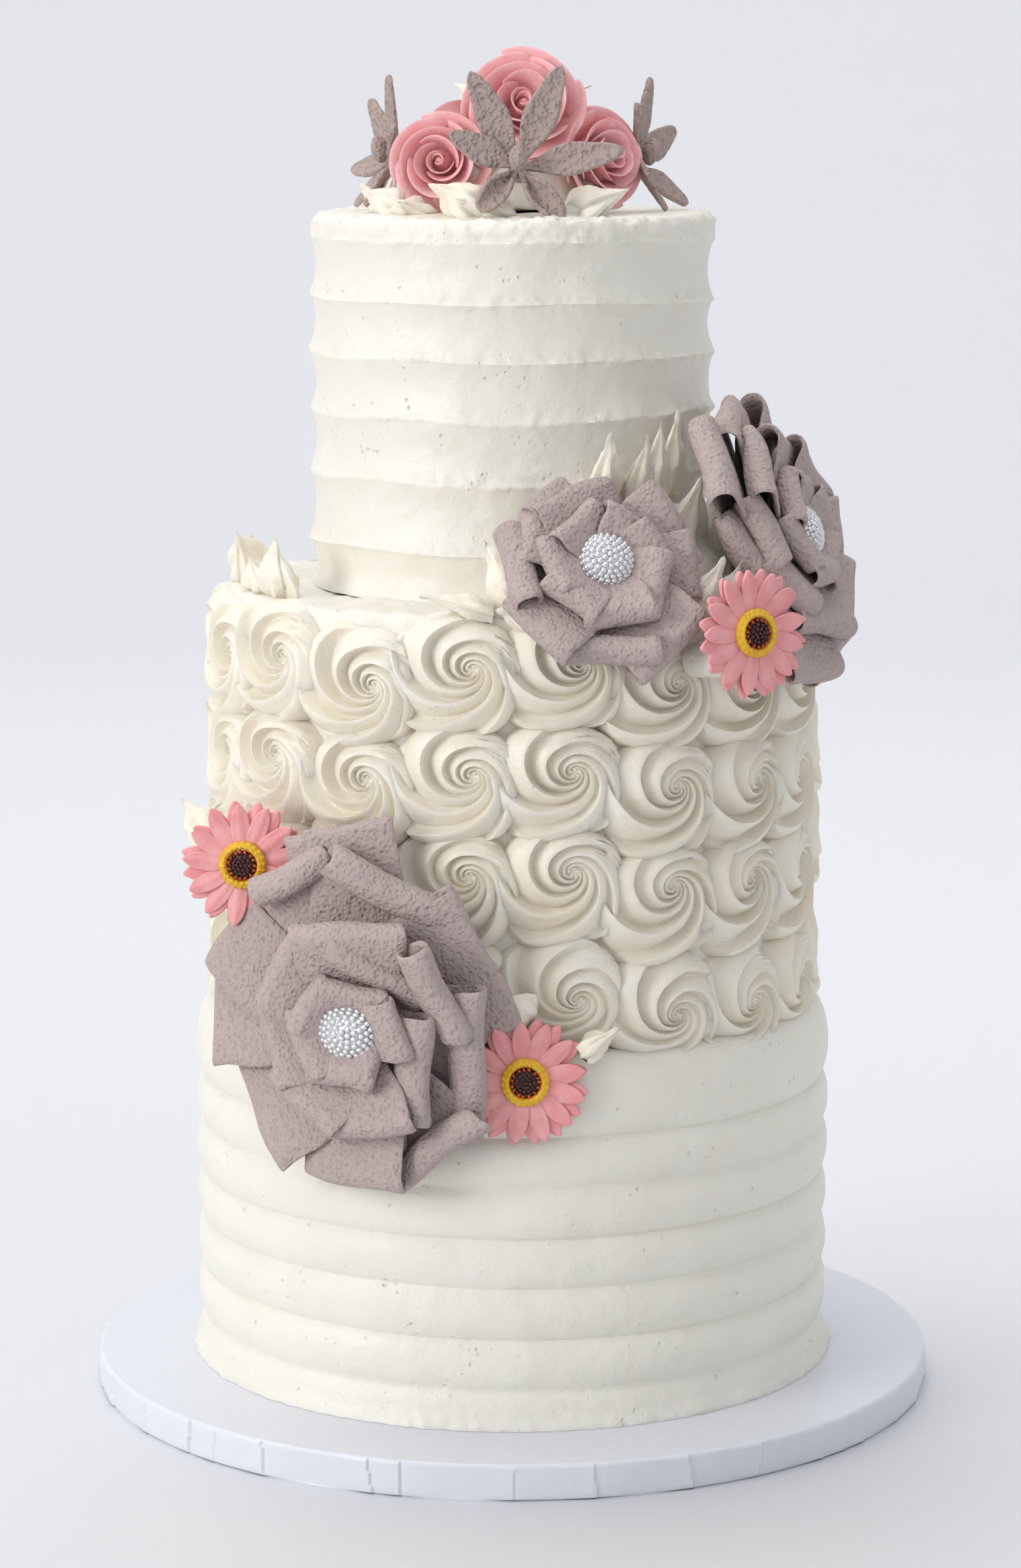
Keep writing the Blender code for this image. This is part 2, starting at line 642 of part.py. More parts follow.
def bouquet():
    """Roses and pointed flowers whose stems end on a mound of icing in the middle of the top tier."""
    mound("bouquet_mound", 0.0, (IVORY,))
    cutter = mound("bouquet_mound_room", GAP)
    cutter.hide_render = True
    cutter.display_type = "WIRE"
    roses = {
        "rose_centre": ((4.0, -12.0, 459.0), 0.0, 20.0, 18.0),
        "rose_left": ((-24.0, -18.0, 441.5), -8.0, 10.0, 15.0),
        "rose_right": ((27.0, -12.0, 442.5), 42.0, 12.0, 15.5),
        "rose_back_left": ((-19.0, 13.0, 446.0), -128.0, 20.0, 14.0),
        "rose_back_right": ((15.0, 22.0, 447.0), 150.0, 22.0, 15.0),
    }
    for name, (place, facing, tilt, size) in roses.items():
        where = Matrix.Translation(Vector(place) * MM) @ side_frame(0, 0, 0, facing=facing, tilt=tilt)
        combine(rose(name, where, size * MM), cutter, "DIFFERENCE")
    open_star = ((116, 37, 8), (66, 39, 8), (152, 28, 12), (8, 38, 6), (230, 19, 20), (310, 22, 20))
    fan_star = ((20, 30, 25), (75, 32, 25), (130, 28, 25), (195, 26, 25), (250, 22, 25), (315, 28, 25))
    stars = {
        "star_front": ((2.0, -50.0, 441.0), 0.0, 8.0, open_star),
        "star_right": ((43.0, 6.0, 441.0), 75.0, 16.0, fan_star),
        "star_left": ((-41.0, 4.0, 442.0), -75.0, 16.0, fan_star),
    }
    for name, (place, facing, tilt, petals) in stars.items():
        where = Matrix.Translation(Vector(place) * MM) @ side_frame(0, 0, 0, facing=facing, tilt=tilt)
        combine(star_flower(name, where, petals), cutter, "DIFFERENCE")


def main():
    clear_scene()
    drum_board()
    bottom_tier()
    middle_tier()
    top_tier()
    rosette_rows()
    large_flower()
    front_flower()
    right_flower()
    icing_bank()
    daisies()
    bouquet()
    piped_leaves()


main()
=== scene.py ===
# %% [markdown]
# # A tiered wedding cake
# Three round tiers of ivory buttercream stand on a paper-covered board. The bottom tier is combed into
# soft bands, the middle one is covered in piped rosettes, and the top one has sharp combed ridges. Three
# taupe flowers made of folded gum paste strips, three pink daisies and a small bouquet dress it. The
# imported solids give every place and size, and each piece below stands for one of them in finer detail.

import math
import random

import bpy
import numpy as np
from mathutils import Matrix, Vector, noise


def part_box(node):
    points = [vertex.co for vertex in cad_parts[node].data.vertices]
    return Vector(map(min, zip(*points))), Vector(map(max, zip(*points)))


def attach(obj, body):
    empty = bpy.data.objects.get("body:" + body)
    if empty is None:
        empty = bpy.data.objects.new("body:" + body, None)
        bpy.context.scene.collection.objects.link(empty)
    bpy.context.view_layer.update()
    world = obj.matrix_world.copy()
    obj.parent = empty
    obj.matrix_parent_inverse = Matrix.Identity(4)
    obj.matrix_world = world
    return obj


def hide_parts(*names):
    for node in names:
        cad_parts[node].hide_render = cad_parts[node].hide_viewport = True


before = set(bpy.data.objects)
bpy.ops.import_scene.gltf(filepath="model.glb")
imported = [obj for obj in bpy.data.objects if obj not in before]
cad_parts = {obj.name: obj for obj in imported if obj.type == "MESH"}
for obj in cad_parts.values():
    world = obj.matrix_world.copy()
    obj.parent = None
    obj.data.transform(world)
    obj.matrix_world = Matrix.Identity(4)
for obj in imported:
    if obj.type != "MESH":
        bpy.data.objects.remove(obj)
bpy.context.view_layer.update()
bpy.ops.object.select_all(action="DESELECT")
MM = 0.001
print("solids:", len(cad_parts))

# %% [markdown]
# ## Small tools used all the way through
# Points are read and written as one table, because moving thousands of points one by one is slow. A
# pattern from Blender's own cloud texture roughens a surface, and every modifier is applied so that the
# finished mesh is real.


# %% Tools for meshes
def points_of(piece):
    """The piece's points as a table of x, y and z."""
    table = np.empty(len(piece.data.vertices) * 3)
    piece.data.vertices.foreach_get("co", table)
    return table.reshape(-1, 3)


def set_points(piece, table):
    """Move the piece's points to the places in a table."""
    piece.data.vertices.foreach_set("co", np.asarray(table, dtype=float).ravel())
    piece.data.update()


def activate(*pieces):
    """Select only these pieces, the first one active."""
    bpy.ops.object.select_all(action="DESELECT")
    for piece in pieces:
        piece.select_set(True)
    bpy.context.view_layer.objects.active = pieces[0]


def apply(piece, kind, **settings):
    """Add a modifier with these settings and apply it."""
    activate(piece)
    step = piece.modifiers.new(kind.lower(), kind)
    for name, value in settings.items():
        setattr(step, name, value)
    bpy.ops.object.modifier_apply(modifier=step.name)


def roughen(piece, size, height, group="", hard=False):
    """Push the skin in and out with clouds of one size."""
    clouds = bpy.data.textures.new("clouds", "CLOUDS")
    clouds.noise_scale = size
    clouds.noise_depth = 2
    clouds.noise_type = "HARD_NOISE" if hard else "SOFT_NOISE"
    place = {"texture_coords": "LOCAL", "vertex_group": group}
    apply(piece, "DISPLACE", texture=clouds, strength=height, mid_level=0.5, **place)


def weigh(piece, name, weight):
    """Keep a weight for each point in a named group."""
    group = piece.vertex_groups.new(name=name)
    for index in np.flatnonzero(weight > 0.05):
        group.add([int(index)], float(weight[index]), "REPLACE")


def join(pieces, name):
    """Make one piece of several."""
    activate(*pieces)
    if len(pieces) > 1:
        bpy.ops.object.join()
    pieces[0].name = name
    pieces[0].data.name = name
    return pieces[0]


def face_outwards(piece, merge=False):
    """Turn every face outwards, after merging doubles if asked."""
    activate(piece)
    bpy.ops.object.mode_set(mode="EDIT")
    bpy.ops.mesh.select_all(action="SELECT")
    if merge:
        bpy.ops.mesh.remove_doubles(threshold=0.001 * MM)
    bpy.ops.mesh.normals_make_consistent(inside=False)
    bpy.ops.object.mode_set(mode="OBJECT")


def grid_shares(squares):
    """How far along (0 to 1) and across (-1 to 1) each point of a grid lies."""
    along, across = np.meshgrid(np.linspace(0, 1, squares[0] + 1), np.linspace(-1, 1, squares[1] + 1))
    return along.ravel(), across.ravel()


def shaped_grid(squares, points):
    """A grid bent to a table of millimetre points."""
    bpy.ops.object.select_all(action="DESELECT")
    bpy.ops.mesh.primitive_grid_add(x_subdivisions=squares[0], y_subdivisions=squares[1], size=1.0)
    grid = bpy.context.object
    set_points(grid, points * MM)
    return grid


def tube(around, rings):
    """A circle drawn out ring by ring, a millimetre each, and closed at both ends."""
    bpy.ops.object.select_all(action="DESELECT")
    bpy.ops.mesh.primitive_circle_add(vertices=around, radius=0.01)
    piece = bpy.context.object
    bpy.ops.object.mode_set(mode="EDIT")
    bpy.ops.mesh.select_all(action="SELECT")
    for _ in range(rings):
        bpy.ops.mesh.extrude_region_move(TRANSFORM_OT_translate={"value": (0.0, 0.0, MM)})
    bpy.ops.mesh.select_all(action="DESELECT")
    bpy.ops.mesh.select_non_manifold()
    bpy.ops.mesh.fill_holes(sides=0)
    bpy.ops.object.mode_set(mode="OBJECT")
    return piece


def thicken(piece, thickness):
    """Give a sheet its thickness in millimetres and round it by one level of subdivision."""
    apply(piece, "SOLIDIFY", thickness=thickness * MM, offset=0.0)
    apply(piece, "SUBSURF", levels=1, render_levels=1)


def carry(piece, put):
    """Take a piece made in millimetres to its place on the cake."""
    set_points(piece, put(points_of(piece)) * MM)


def settle(piece, name, nodes, finish, angle=50.0):
    """Name a finished piece, smooth it, paint it, and put it in place of its solids."""
    activate(piece)
    bpy.ops.object.transform_apply(location=True, rotation=True, scale=True)
    bpy.ops.object.shade_smooth_by_angle(angle=math.radians(angle))
    piece.name = name
    piece.data.name = name
    piece.data.materials.clear()
    piece.data.materials.append(finish)
    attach(piece, "root")
    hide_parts(*nodes)
    print(f"{name}: {len(piece.data.polygons)} faces")


# %% [markdown]
# ## Finishes
# Buttercream is ivory, softly shiny, and full of tiny air holes where the comb dragged it. Gum paste is
# dull and looks like pebbled leather, with painted shade in its pits. The sugar petals are smooth and
# matt. Every pattern reads Object coordinates, so it keeps its real size wherever the piece sits.


# %% A helper that wires a finish
class Finish:
    """A Principled material with a few nodes hung on it."""

    def __init__(self, name, colour, roughness, **sockets):
        self.material = bpy.data.materials.new(name)
        self.material.use_nodes = True
        self.nodes = self.material.node_tree.nodes
        self.links = self.material.node_tree.links
        self.shader = self.nodes["Principled BSDF"]
        self.shader.inputs["Base Color"].default_value = (*colour, 1.0)
        self.shader.inputs["Roughness"].default_value = roughness
        for socket, value in sockets.items():
            self.shader.inputs[socket.replace("_", " ")].default_value = value
        self.place = self.nodes.new("ShaderNodeTexCoord").outputs["Object"]
        self.height = None

    def node(self, kind, vector=None, **inputs):
        """Add a node and set its inputs by name."""
        made = self.nodes.new("ShaderNode" + kind)
        for socket, value in inputs.items():
            made.inputs[socket.replace("_", " ")].default_value = value
        if vector is not None:
            self.links.new(vector, made.inputs["Vector"])
        return made

    def clouds(self, scale, detail=3.0, roughness=0.5):
        """A noise pattern; scale counts its lumps per metre."""
        node = self.node("TexNoise", self.place, Scale=scale, Detail=detail, Roughness=roughness)
        return node.outputs["Fac"]

    def cells(self, scale):
        """Distance to scattered points, for holes and pebbles."""
        return self.node("TexVoronoi", self.place, Scale=scale).outputs["Distance"]

    def band(self, value, low, high, start=0.0, end=1.0):
        """Spread the part of a pattern between two values over a new range."""
        node = self.node("MapRange", From_Min=low, From_Max=high, To_Min=start, To_Max=end)
        self.links.new(value, node.inputs["Value"])
        return node.outputs["Result"]

    def math(self, how, first, second):
        """Combine two patterns, or a pattern and a number."""
        node = self.node("Math")
        node.operation = how
        for socket, value in zip(node.inputs, (first, second)):
            if isinstance(value, (int, float)):
                socket.default_value = value
            else:
                self.links.new(value, socket)
        return node.outputs["Value"]

    def tint(self, value, colours):
        """Colour the surface by a pattern; colours lists (position, colour)."""
        ramp = self.node("ValToRGB")
        while len(ramp.color_ramp.elements) < len(colours):
            ramp.color_ramp.elements.new(0.5)
        for element, (position, colour) in zip(ramp.color_ramp.elements, colours):
            element.position = position
            element.color = (*colour, 1.0)
        self.links.new(value, ramp.inputs["Fac"])
        self.links.new(ramp.outputs["Color"], self.shader.inputs["Base Color"])

    def bump(self, value, distance):
        """Raise the surface by a pattern, on top of earlier bumps."""
        node = self.node("Bump", Distance=distance)
        self.links.new(value, node.inputs["Height"])
        if self.height is not None:
            self.links.new(self.height, node.inputs["Normal"])
        self.height = node.outputs["Normal"]
        self.links.new(self.height, self.shader.inputs["Normal"])


# %% Buttercream, gum paste, sugar petals, beads and board paper
def buttercream(name, holes, pale, deep):
    """Ivory icing with fine air holes; holes sets how deep they look."""
    made = Finish(name, pale, 0.42, Subsurface_Weight=0.25, Subsurface_Scale=0.004)
    made.shader.inputs["Subsurface Radius"].default_value = (1.0, 0.75, 0.5)
    made.tint(made.clouds(55.0), [(0.3, deep), (0.7, pale)])
    sparse = made.band(made.clouds(90.0, 2.0), 0.57, 0.68)
    pits = made.math("MULTIPLY", made.band(made.cells(340.0), 0.06, 0.26, -1.0, 0.0), sparse)
    made.bump(pits, 0.0006 * holes)
    made.bump(made.clouds(240.0, 4.0, 0.6), 0.0006)
    return made.material


def gum_paste(name, colour, pebble=1.0):
    """Dull paste with a pebbled, pitted skin, and painted shade that darkens its pits and hollows."""
    # dark is the painted shade colour for the pits and the low parts of the lumps
    dark = tuple(0.86 * part for part in colour)
    made = Finish(name, colour, 0.78, Specular_IOR_Level=0.3)
    pits = made.band(made.cells(640.0), 0.0, 0.60)
    lumps = made.clouds(380.0, 1.0, 0.4)
    # painted shade: the lower the bumped skin lies, the darker its colour, so the pits and hollows look
    # shaded
    painted_pit_shade = made.math("ADD", made.math("MULTIPLY", pits, 0.5), made.math("MULTIPLY", lumps, 0.8))
    made.tint(painted_pit_shade, [(0.34, dark), (0.62, colour)])
    made.bump(pits, 0.00050 * pebble)
    made.bump(lumps, 0.0008 * pebble)
    return made.material


def sugar_petal(name, pale, deep):
    """Smooth coloured sugar paste that is paler where it is thin."""
    made = Finish(name, pale, 0.55, Subsurface_Weight=0.15, Subsurface_Scale=0.002)
    made.shader.inputs["Subsurface Radius"].default_value = (1.0, 0.35, 0.3)
    made.tint(made.clouds(130.0), [(0.35, deep), (0.65, pale)])
    made.bump(made.clouds(700.0, 4.0), 0.00025)
    return made.material


def grained(name, colour, roughness, scale, detail, depth, **sockets):
    """One plain colour with a fine grain of a given depth."""
    made = Finish(name, colour, roughness, **sockets)
    made.bump(made.clouds(scale, detail), depth)
    return made.material


ICING = buttercream("buttercream", 1.0, (0.87, 0.845, 0.765), (0.85, 0.815, 0.72))
PIPED = buttercream("piped_buttercream", 0.5, (0.90, 0.855, 0.75), (0.87, 0.805, 0.67))
TAUPE = gum_paste("taupe_gum_paste", (0.49, 0.40, 0.38))
TAUPE_ROUGH = gum_paste("taupe_pointed_petals", (0.44, 0.345, 0.315), 1.4)
ROSE = sugar_petal("rose_sugar", (0.97, 0.57, 0.58), (0.93, 0.46, 0.475))
DAISY = sugar_petal("daisy_sugar", (0.90, 0.42, 0.42), (0.83, 0.32, 0.33))
SILVER = grained("silver_beads", (0.80, 0.81, 0.82), 0.34, 900.0, 3.0, 0.0002, Metallic=0.85)
PAPER = grained("board_paper", (0.75, 0.775, 0.83), 0.42, 160.0, 2.0, 0.0004, Coat_Weight=0.2)
print("finishes ready")

# %% [markdown]
# ## Camera, floor and light
# The camera stands a metre and a half away and looks slightly down, so the ledges just show. The floor
# sweeps up into the backdrop without an edge. Four large soft lights and a pale sky keep the shadows
# faint: a window on the left is the strongest, one overhead lifts the ledges and the floor, one washes
# the backdrop, and one fills in.

# %% Place the camera
IMAGE_HEIGHT, FOCAL_LENGTH, SENSOR = 2380, 6505.0, 36.0
EYE_PLACE, LOOK_DOWN = (-0.0007, -1.5319, 0.4777), 9.59
eye = bpy.data.cameras.new("eye")
eye.sensor_width = SENSOR
eye.lens = SENSOR * FOCAL_LENGTH / IMAGE_HEIGHT
camera = bpy.data.objects.new("camera", eye)
camera.location = EYE_PLACE
camera.rotation_euler = (math.radians(90.0 - LOOK_DOWN), 0.0, 0.0)
bpy.context.scene.collection.objects.link(camera)
bpy.context.scene.camera = camera
bpy.context.scene.view_settings.view_transform = "Standard"
print("camera lens", round(eye.lens, 1))


# %% Sweep the floor up into a backdrop
BEND_STEPS, BEND_STRIDE = 12, 0.16


def backdrop():
    """A floor that curves up behind the cake."""
    bpy.ops.mesh.primitive_plane_add(size=1.0, location=(0.0, 0.0, 0.0))
    floor = bpy.context.object
    bpy.ops.object.mode_set(mode="EDIT")
    bpy.ops.mesh.select_all(action="SELECT")
    bpy.ops.transform.resize(value=(9.0, 5.0, 1.0))
    bpy.ops.transform.translate(value=(0.0, -0.5, 0.0))
    bpy.ops.object.mode_set(mode="OBJECT")
    for edge in floor.data.edges:
        edge.select = all(floor.data.vertices[index].co.y > 1.9 for index in edge.vertices)
    for face in floor.data.polygons:
        face.select = False
    bpy.ops.object.mode_set(mode="EDIT")
    bpy.ops.mesh.select_mode(type="EDGE")
    for step in range(BEND_STEPS):
        angle = math.radians(90.0 * (step + 0.5) / BEND_STEPS)
        stride = (0.0, BEND_STRIDE * math.cos(angle), BEND_STRIDE * math.sin(angle))
        bpy.ops.mesh.extrude_edges_move(TRANSFORM_OT_translate={"value": stride})
    bpy.ops.mesh.extrude_edges_move(TRANSFORM_OT_translate={"value": (0.0, 0.0, 3.0)})
    bpy.ops.mesh.select_mode(type="VERT")
    bpy.ops.object.mode_set(mode="OBJECT")
    bpy.ops.object.shade_smooth()
    finish = Finish("floor_paper", (0.93, 0.94, 0.965), 0.7)
    finish.tint(finish.clouds(1.2, 2.0), [(0.2, (0.92, 0.935, 0.96)), (0.8, (0.94, 0.945, 0.97))])
    floor.data.materials.append(finish.material)
    floor.name = "floor"
    return floor


backdrop()


# %% Hang the lights
def soft_light(name, place, size, power, colour, target=(0.0, 0.0, 0.25)):
    """A large square light that looks at the cake or at another target."""
    lamp = bpy.data.lights.new(name, "AREA")
    lamp.size = size
    lamp.energy = power
    lamp.color = colour
    hung = bpy.data.objects.new(name, lamp)
    hung.location = place
    aim = Vector(target) - Vector(place)
    hung.rotation_euler = aim.to_track_quat("-Z", "Y").to_euler()
    bpy.context.scene.collection.objects.link(hung)


soft_light("window_left", (-2.0, -1.5, 0.95), 1.5, 41.0, (1.0, 0.99, 0.97))
soft_light("fill_right", (2.2, -1.8, 0.9), 2.2, 6.0, (1.0, 0.98, 0.96))
soft_light("overhead", (-0.3, 0.3, 2.3), 2.0, 24.0, (1.0, 0.995, 0.985))
soft_light("backdrop_wash", (-0.5, 0.8, 2.2), 2.0, 5.0, (1.0, 0.995, 0.985), (-0.3, 2.8, 0.5))
sky = bpy.data.worlds.new("studio")
sky.use_nodes = True
glow = sky.node_tree.nodes["Background"]
glow.inputs["Color"].default_value = (0.87, 0.875, 0.90, 1.0)
glow.inputs["Strength"].default_value = 0.61
bpy.context.scene.world = sky
print("four soft lights and a pale sky")

# %% [markdown]
# ## The board
# A cake drum is a thick card covered in white paper. On its edge the paper is folded down in many small
# pleats, so the rim is a little faceted. It could be a plain cylinder, but the pleats are what tells the
# eye that it is paper. A profile is spun round, and the edge is then pulled in along each pleat.


# %% Spin a profile round the cake's axis
def spun(profile, steps):
    """Walk a line of (radius, height) points and spin it round the upright axis."""
    bpy.ops.mesh.primitive_plane_add(size=0.002, location=(0.0, 0.0, 0.0))
    piece = bpy.context.object
    bpy.ops.object.mode_set(mode="EDIT")
    bpy.ops.mesh.select_all(action="SELECT")
    bpy.ops.mesh.merge(type="CENTER")
    bpy.ops.transform.translate(value=(profile[0][0], 0.0, profile[0][1]))
    for (near, low), (far, high) in zip(profile, profile[1:]):
        bpy.ops.mesh.extrude_vertices_move(TRANSFORM_OT_translate={"value": (far - near, 0.0, high - low)})
    bpy.ops.mesh.select_all(action="SELECT")
    bpy.ops.mesh.spin(steps=steps, angle=2 * math.pi, center=(0, 0, 0), axis=(0, 0, 1))
    bpy.ops.mesh.select_all(action="SELECT")
    bpy.ops.mesh.remove_doubles(threshold=0.00002)
    bpy.ops.mesh.normals_make_consistent(inside=False)
    bpy.ops.object.mode_set(mode="OBJECT")
    return piece


def round_places(table):
    """Azimuth in radians (0 at the front), radius and height of each point."""
    return np.arctan2(table[:, 0], -table[:, 1]), np.hypot(table[:, 0], table[:, 1]), table[:, 2].copy()


def from_round(azimuth, radius, height):
    """Points from azimuth, radius and height."""
    return np.stack([radius * np.sin(azimuth), -radius * np.cos(azimuth), height], axis=1)


def drift(azimuth, seed, waves=6):
    """A slow wave round the cake, between about -1 and 1, that closes on itself."""
    dice = random.Random(seed)
    total = np.zeros_like(azimuth)
    for turns in range(1, waves + 1):
        total += dice.uniform(0.4, 1.0) / turns**0.5 * np.sin(turns * azimuth + dice.uniform(0, 6.283))
    return total / waves**0.5


# %% Wrap the board
BOARD_STEPS, PLEAT_ANGLES = 1080, (4.0, 5.5, 9.0, 11.0, 14.0)


def paper_board():
    """The drum with its pleated paper edge."""
    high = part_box("cake_drum")[1]
    radius, height = high.x, high.z
    edge = 1.3 * MM
    profile = [(0.0, 0.0), (radius - edge, 0.0)]
    profile.append((radius - 0.3 * MM, 0.5 * MM))
    profile += [(radius, level * MM) for level in np.arange(1.5, height / MM - 1.6, 0.95)]
    profile += [(radius, height - edge), (radius - 0.35 * edge, height - 0.35 * edge)]
    profile += [(inner, height) for inner in (radius - edge, radius - 4 * MM, 0.55 * radius, 0.0)]
    board = spun(profile, BOARD_STEPS)
    table = points_of(board)
    azimuth, reach, level = round_places(table)
    dice = random.Random(4)
    pleats, spot = [], -math.pi
    while spot < math.pi - 0.05:
        pleats.append(spot)
        spot += math.radians(dice.choice(PLEAT_ANGLES) * dice.uniform(0.85, 1.15))
    pull = np.zeros_like(azimuth)
    down = 1.0 - level / height
    for start, end in zip(pleats, pleats[1:] + [pleats[0] + 2 * math.pi]):
        lean = math.radians(dice.uniform(-0.9, 0.9)) * down
        share = np.mod(azimuth - start - lean, 2 * math.pi) / (end - start)
        wide = end - start
        flat = 1.0 - np.cos(0.5 * wide) / np.cos((np.clip(share, 0, 1) - 0.5) * wide)
        step = dice.uniform(0.5, 1.1) * MM * np.exp(-share * wide * radius / (4.5 * MM))
        pull += np.where(share < 1.0, radius * flat * (0.35 + 0.8 * down) + step, 0.0)
    on_edge = np.clip((reach - (radius - edge)) / edge, 0.0, 1.0)
    reach = reach - on_edge * pull
    set_points(board, from_round(azimuth, reach, level))
    settle(board, "paper_board", ["cake_drum"], PAPER, 24.0)


paper_board()

# %% [markdown]
# ## The combed tiers
# A comb turned against soft icing leaves bands. On the bottom tier the bands swell outwards between thin
# cut lines; on the top tier sharp ridges stand between hollow bands. No comb runs dead level, so the
# lines drift up and down, the ridges tear a little, and the surface keeps shallow dents. A spun profile
# gives the bands, and the drift and the tears are moved in afterwards.

# %% Sizes shared by the tiers
BOTTOM_RADIUS, BOTTOM_CUT = 115.2 * MM, 3.0 * MM
BOTTOM_LINES, BOTTOM_RIM = [26.1, 44.2, 62.1, 79.6, 97.6, 115.5], 132.0
TOP_RADIUS, TOP_CUT = 72.6 * MM, 2.8 * MM
TOP_RIDGES, TOP_RIM = [310.2, 334.1, 355.6, 376.1, 395.8, 416.3], 420.5
HOLLOW = 0.55
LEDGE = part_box("middle_tier")[1].z
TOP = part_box("top_tier")[1].z


def bottom_swell(level):
    """Radius of the bottom tier at a height in millimetres."""
    lines = [7.0] + BOTTOM_LINES + [133.0]
    for low, high in zip(lines, lines[1:]):
        if low <= level <= high:
            share = (level - low) / (high - low)
            cut = BOTTOM_CUT * (1.0 - math.sin(math.pi * share) ** HOLLOW)
            return BOTTOM_RADIUS - (cut if high < 130.0 or share < 0.5 else 0.35 * cut)
    return BOTTOM_RADIUS - 0.35 * BOTTOM_CUT


def rounded_rim(rim, inset, low, top, steps):
    """A quarter turn from the side up to the top."""
    turns = [math.radians(90.0 * step / steps) for step in range(1, steps + 1)]
    return [(rim - inset * (1 - math.cos(turn)), low + (top - low) * math.sin(turn)) for turn in turns]


def bottom_profile():
    """The bottom tier's outline from the middle of its foot to the middle of its top."""
    foot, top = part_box("bottom_tier")[0].z / MM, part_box("bottom_tier")[1].z / MM
    line = [(0.0, foot), (0.5 * BOTTOM_RADIUS / MM, foot)]
    for level in np.arange(foot, BOTTOM_RIM, 1.15):
        flare = 2.6 * math.exp(-((level - foot) / 3.2) ** 2)
        line.append((bottom_swell(level) / MM + flare, level))
    line += rounded_rim(bottom_swell(BOTTOM_RIM) / MM, 9.0, BOTTOM_RIM, top, 8)
    line += [(inner, top) for inner in (95.0, 60.0, 0.0)]
    return [(radius * MM, level * MM) for radius, level in line]


# %% Comb the bottom tier
def combed(profile, steps, seed, wander):
    """Spin a combed tier, then let its lines wander."""
    tier = spun(profile, steps)
    azimuth, reach, level = round_places(points_of(tier))
    low, high = level.min(), level.max()
    middle = np.clip(np.minimum(level - low, high - level) / (12 * MM), 0.0, 1.0)
    side = reach > 0.85 * reach.max()
    for number in range(3):
        mix = np.exp(-(((level - low) / (high - low) - 0.2 - 0.3 * number) / 0.22) ** 2)
        level = level + side * middle * mix * wander * drift(azimuth, seed + number)
    reach = reach + side * 0.5 * wander * drift(azimuth, seed + 7, 4) * middle
    set_points(tier, from_round(azimuth, reach, level))
    return tier


def bottom_tier():
    """The widest tier, softly banded."""
    tier = combed(bottom_profile(), 460, 11, 0.5 * MM)
    roughen(tier, 0.030, 1.4 * MM)
    roughen(tier, 0.008, 0.45 * MM)
    _, reach, level = round_places(points_of(tier))
    underside = level < level.min() + 0.6 * MM
    foot = np.exp(-(((level - level.min()) / (5 * MM)) ** 2)) * (reach > 0.9 * BOTTOM_RADIUS)
    weigh(tier, "foot", foot)
    roughen(tier, 0.006, 2.2 * MM, "foot", True)
    table = points_of(tier)
    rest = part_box("cake_drum")[1].z + 0.1 * MM
    table[:, 2] = np.where(underside | (table[:, 2] < rest), rest, table[:, 2])
    set_points(tier, table)
    settle(tier, "banded_bottom_tier", ["bottom_tier"], ICING)


bottom_tier()


# %% Comb the top tier
def top_profile():
    """The top tier's outline: hollow bands between thin ridges."""
    foot, top = LEDGE / MM + 0.1, TOP / MM
    line = [(0.0, foot), (0.5 * TOP_RADIUS / MM, foot)]
    ridges = [286.0] + TOP_RIDGES + [438.0]
    for level in np.arange(foot, TOP_RIM, 0.9):
        for low, high in zip(ridges, ridges[1:]):
            if low <= level <= high:
                hollow = math.sin(math.pi * (level - low) / (high - low)) ** HOLLOW
                radius = TOP_RADIUS / MM - TOP_CUT / MM * hollow
        if level > TOP_RIDGES[-1]:
            radius = TOP_RADIUS / MM - 1.2 + 0.9 * math.exp(-(level - TOP_RIDGES[-1]) / 1.2)
        flare = 2.4 * math.exp(-((level - foot) / 4.5) ** 2)
        line.append((radius + flare, level))
    line += rounded_rim(line[-1][0], 4.5, TOP_RIM, top, 7)
    line += [(inner, top) for inner in (60.0, 52.0, 42.0, 30.0, 15.0, 0.0)]
    return [(radius * MM, level * MM) for radius, level in line]


def top_tier():
    """The smallest tier, with ridges that wander and tear."""
    tier = combed(top_profile(), 440, 31, 2.8 * MM)
    azimuth, reach, level = round_places(points_of(tier))
    ridge = np.zeros_like(level)
    for height in TOP_RIDGES:
        ridge = np.maximum(ridge, np.exp(-(((level / MM - height - 0.8) / 2.6) ** 2)))
    ridge *= reach > TOP_RADIUS - 4 * MM
    rim = (level > TOP - 5 * MM) * (reach > 55 * MM)
    patches = np.clip(0.6 + 0.7 * drift(azimuth + 40.0 * level, 5, 16), 0.15, 1.0)
    weigh(tier, "torn", np.clip(np.maximum(ridge * patches, 0.9 * rim), 0, 1))
    roughen(tier, 0.034, 2.0 * MM)
    roughen(tier, 0.012, 0.9 * MM)
    roughen(tier, 0.012, 1.8 * MM, "torn")
    roughen(tier, 0.0045, 2.6 * MM, "torn")
    roughen(tier, 0.0024, 1.6 * MM, "torn", True)
    settle(tier, "ridged_top_tier", ["top_tier"], ICING)


top_tier()


# %% [markdown]
# ## The core behind the rosettes
# The middle tier was coated before it was piped, and the coat shows in the small gaps between the swirls
# and on the ledge. It is a spun drum, and two sizes of clouds smear its skin.


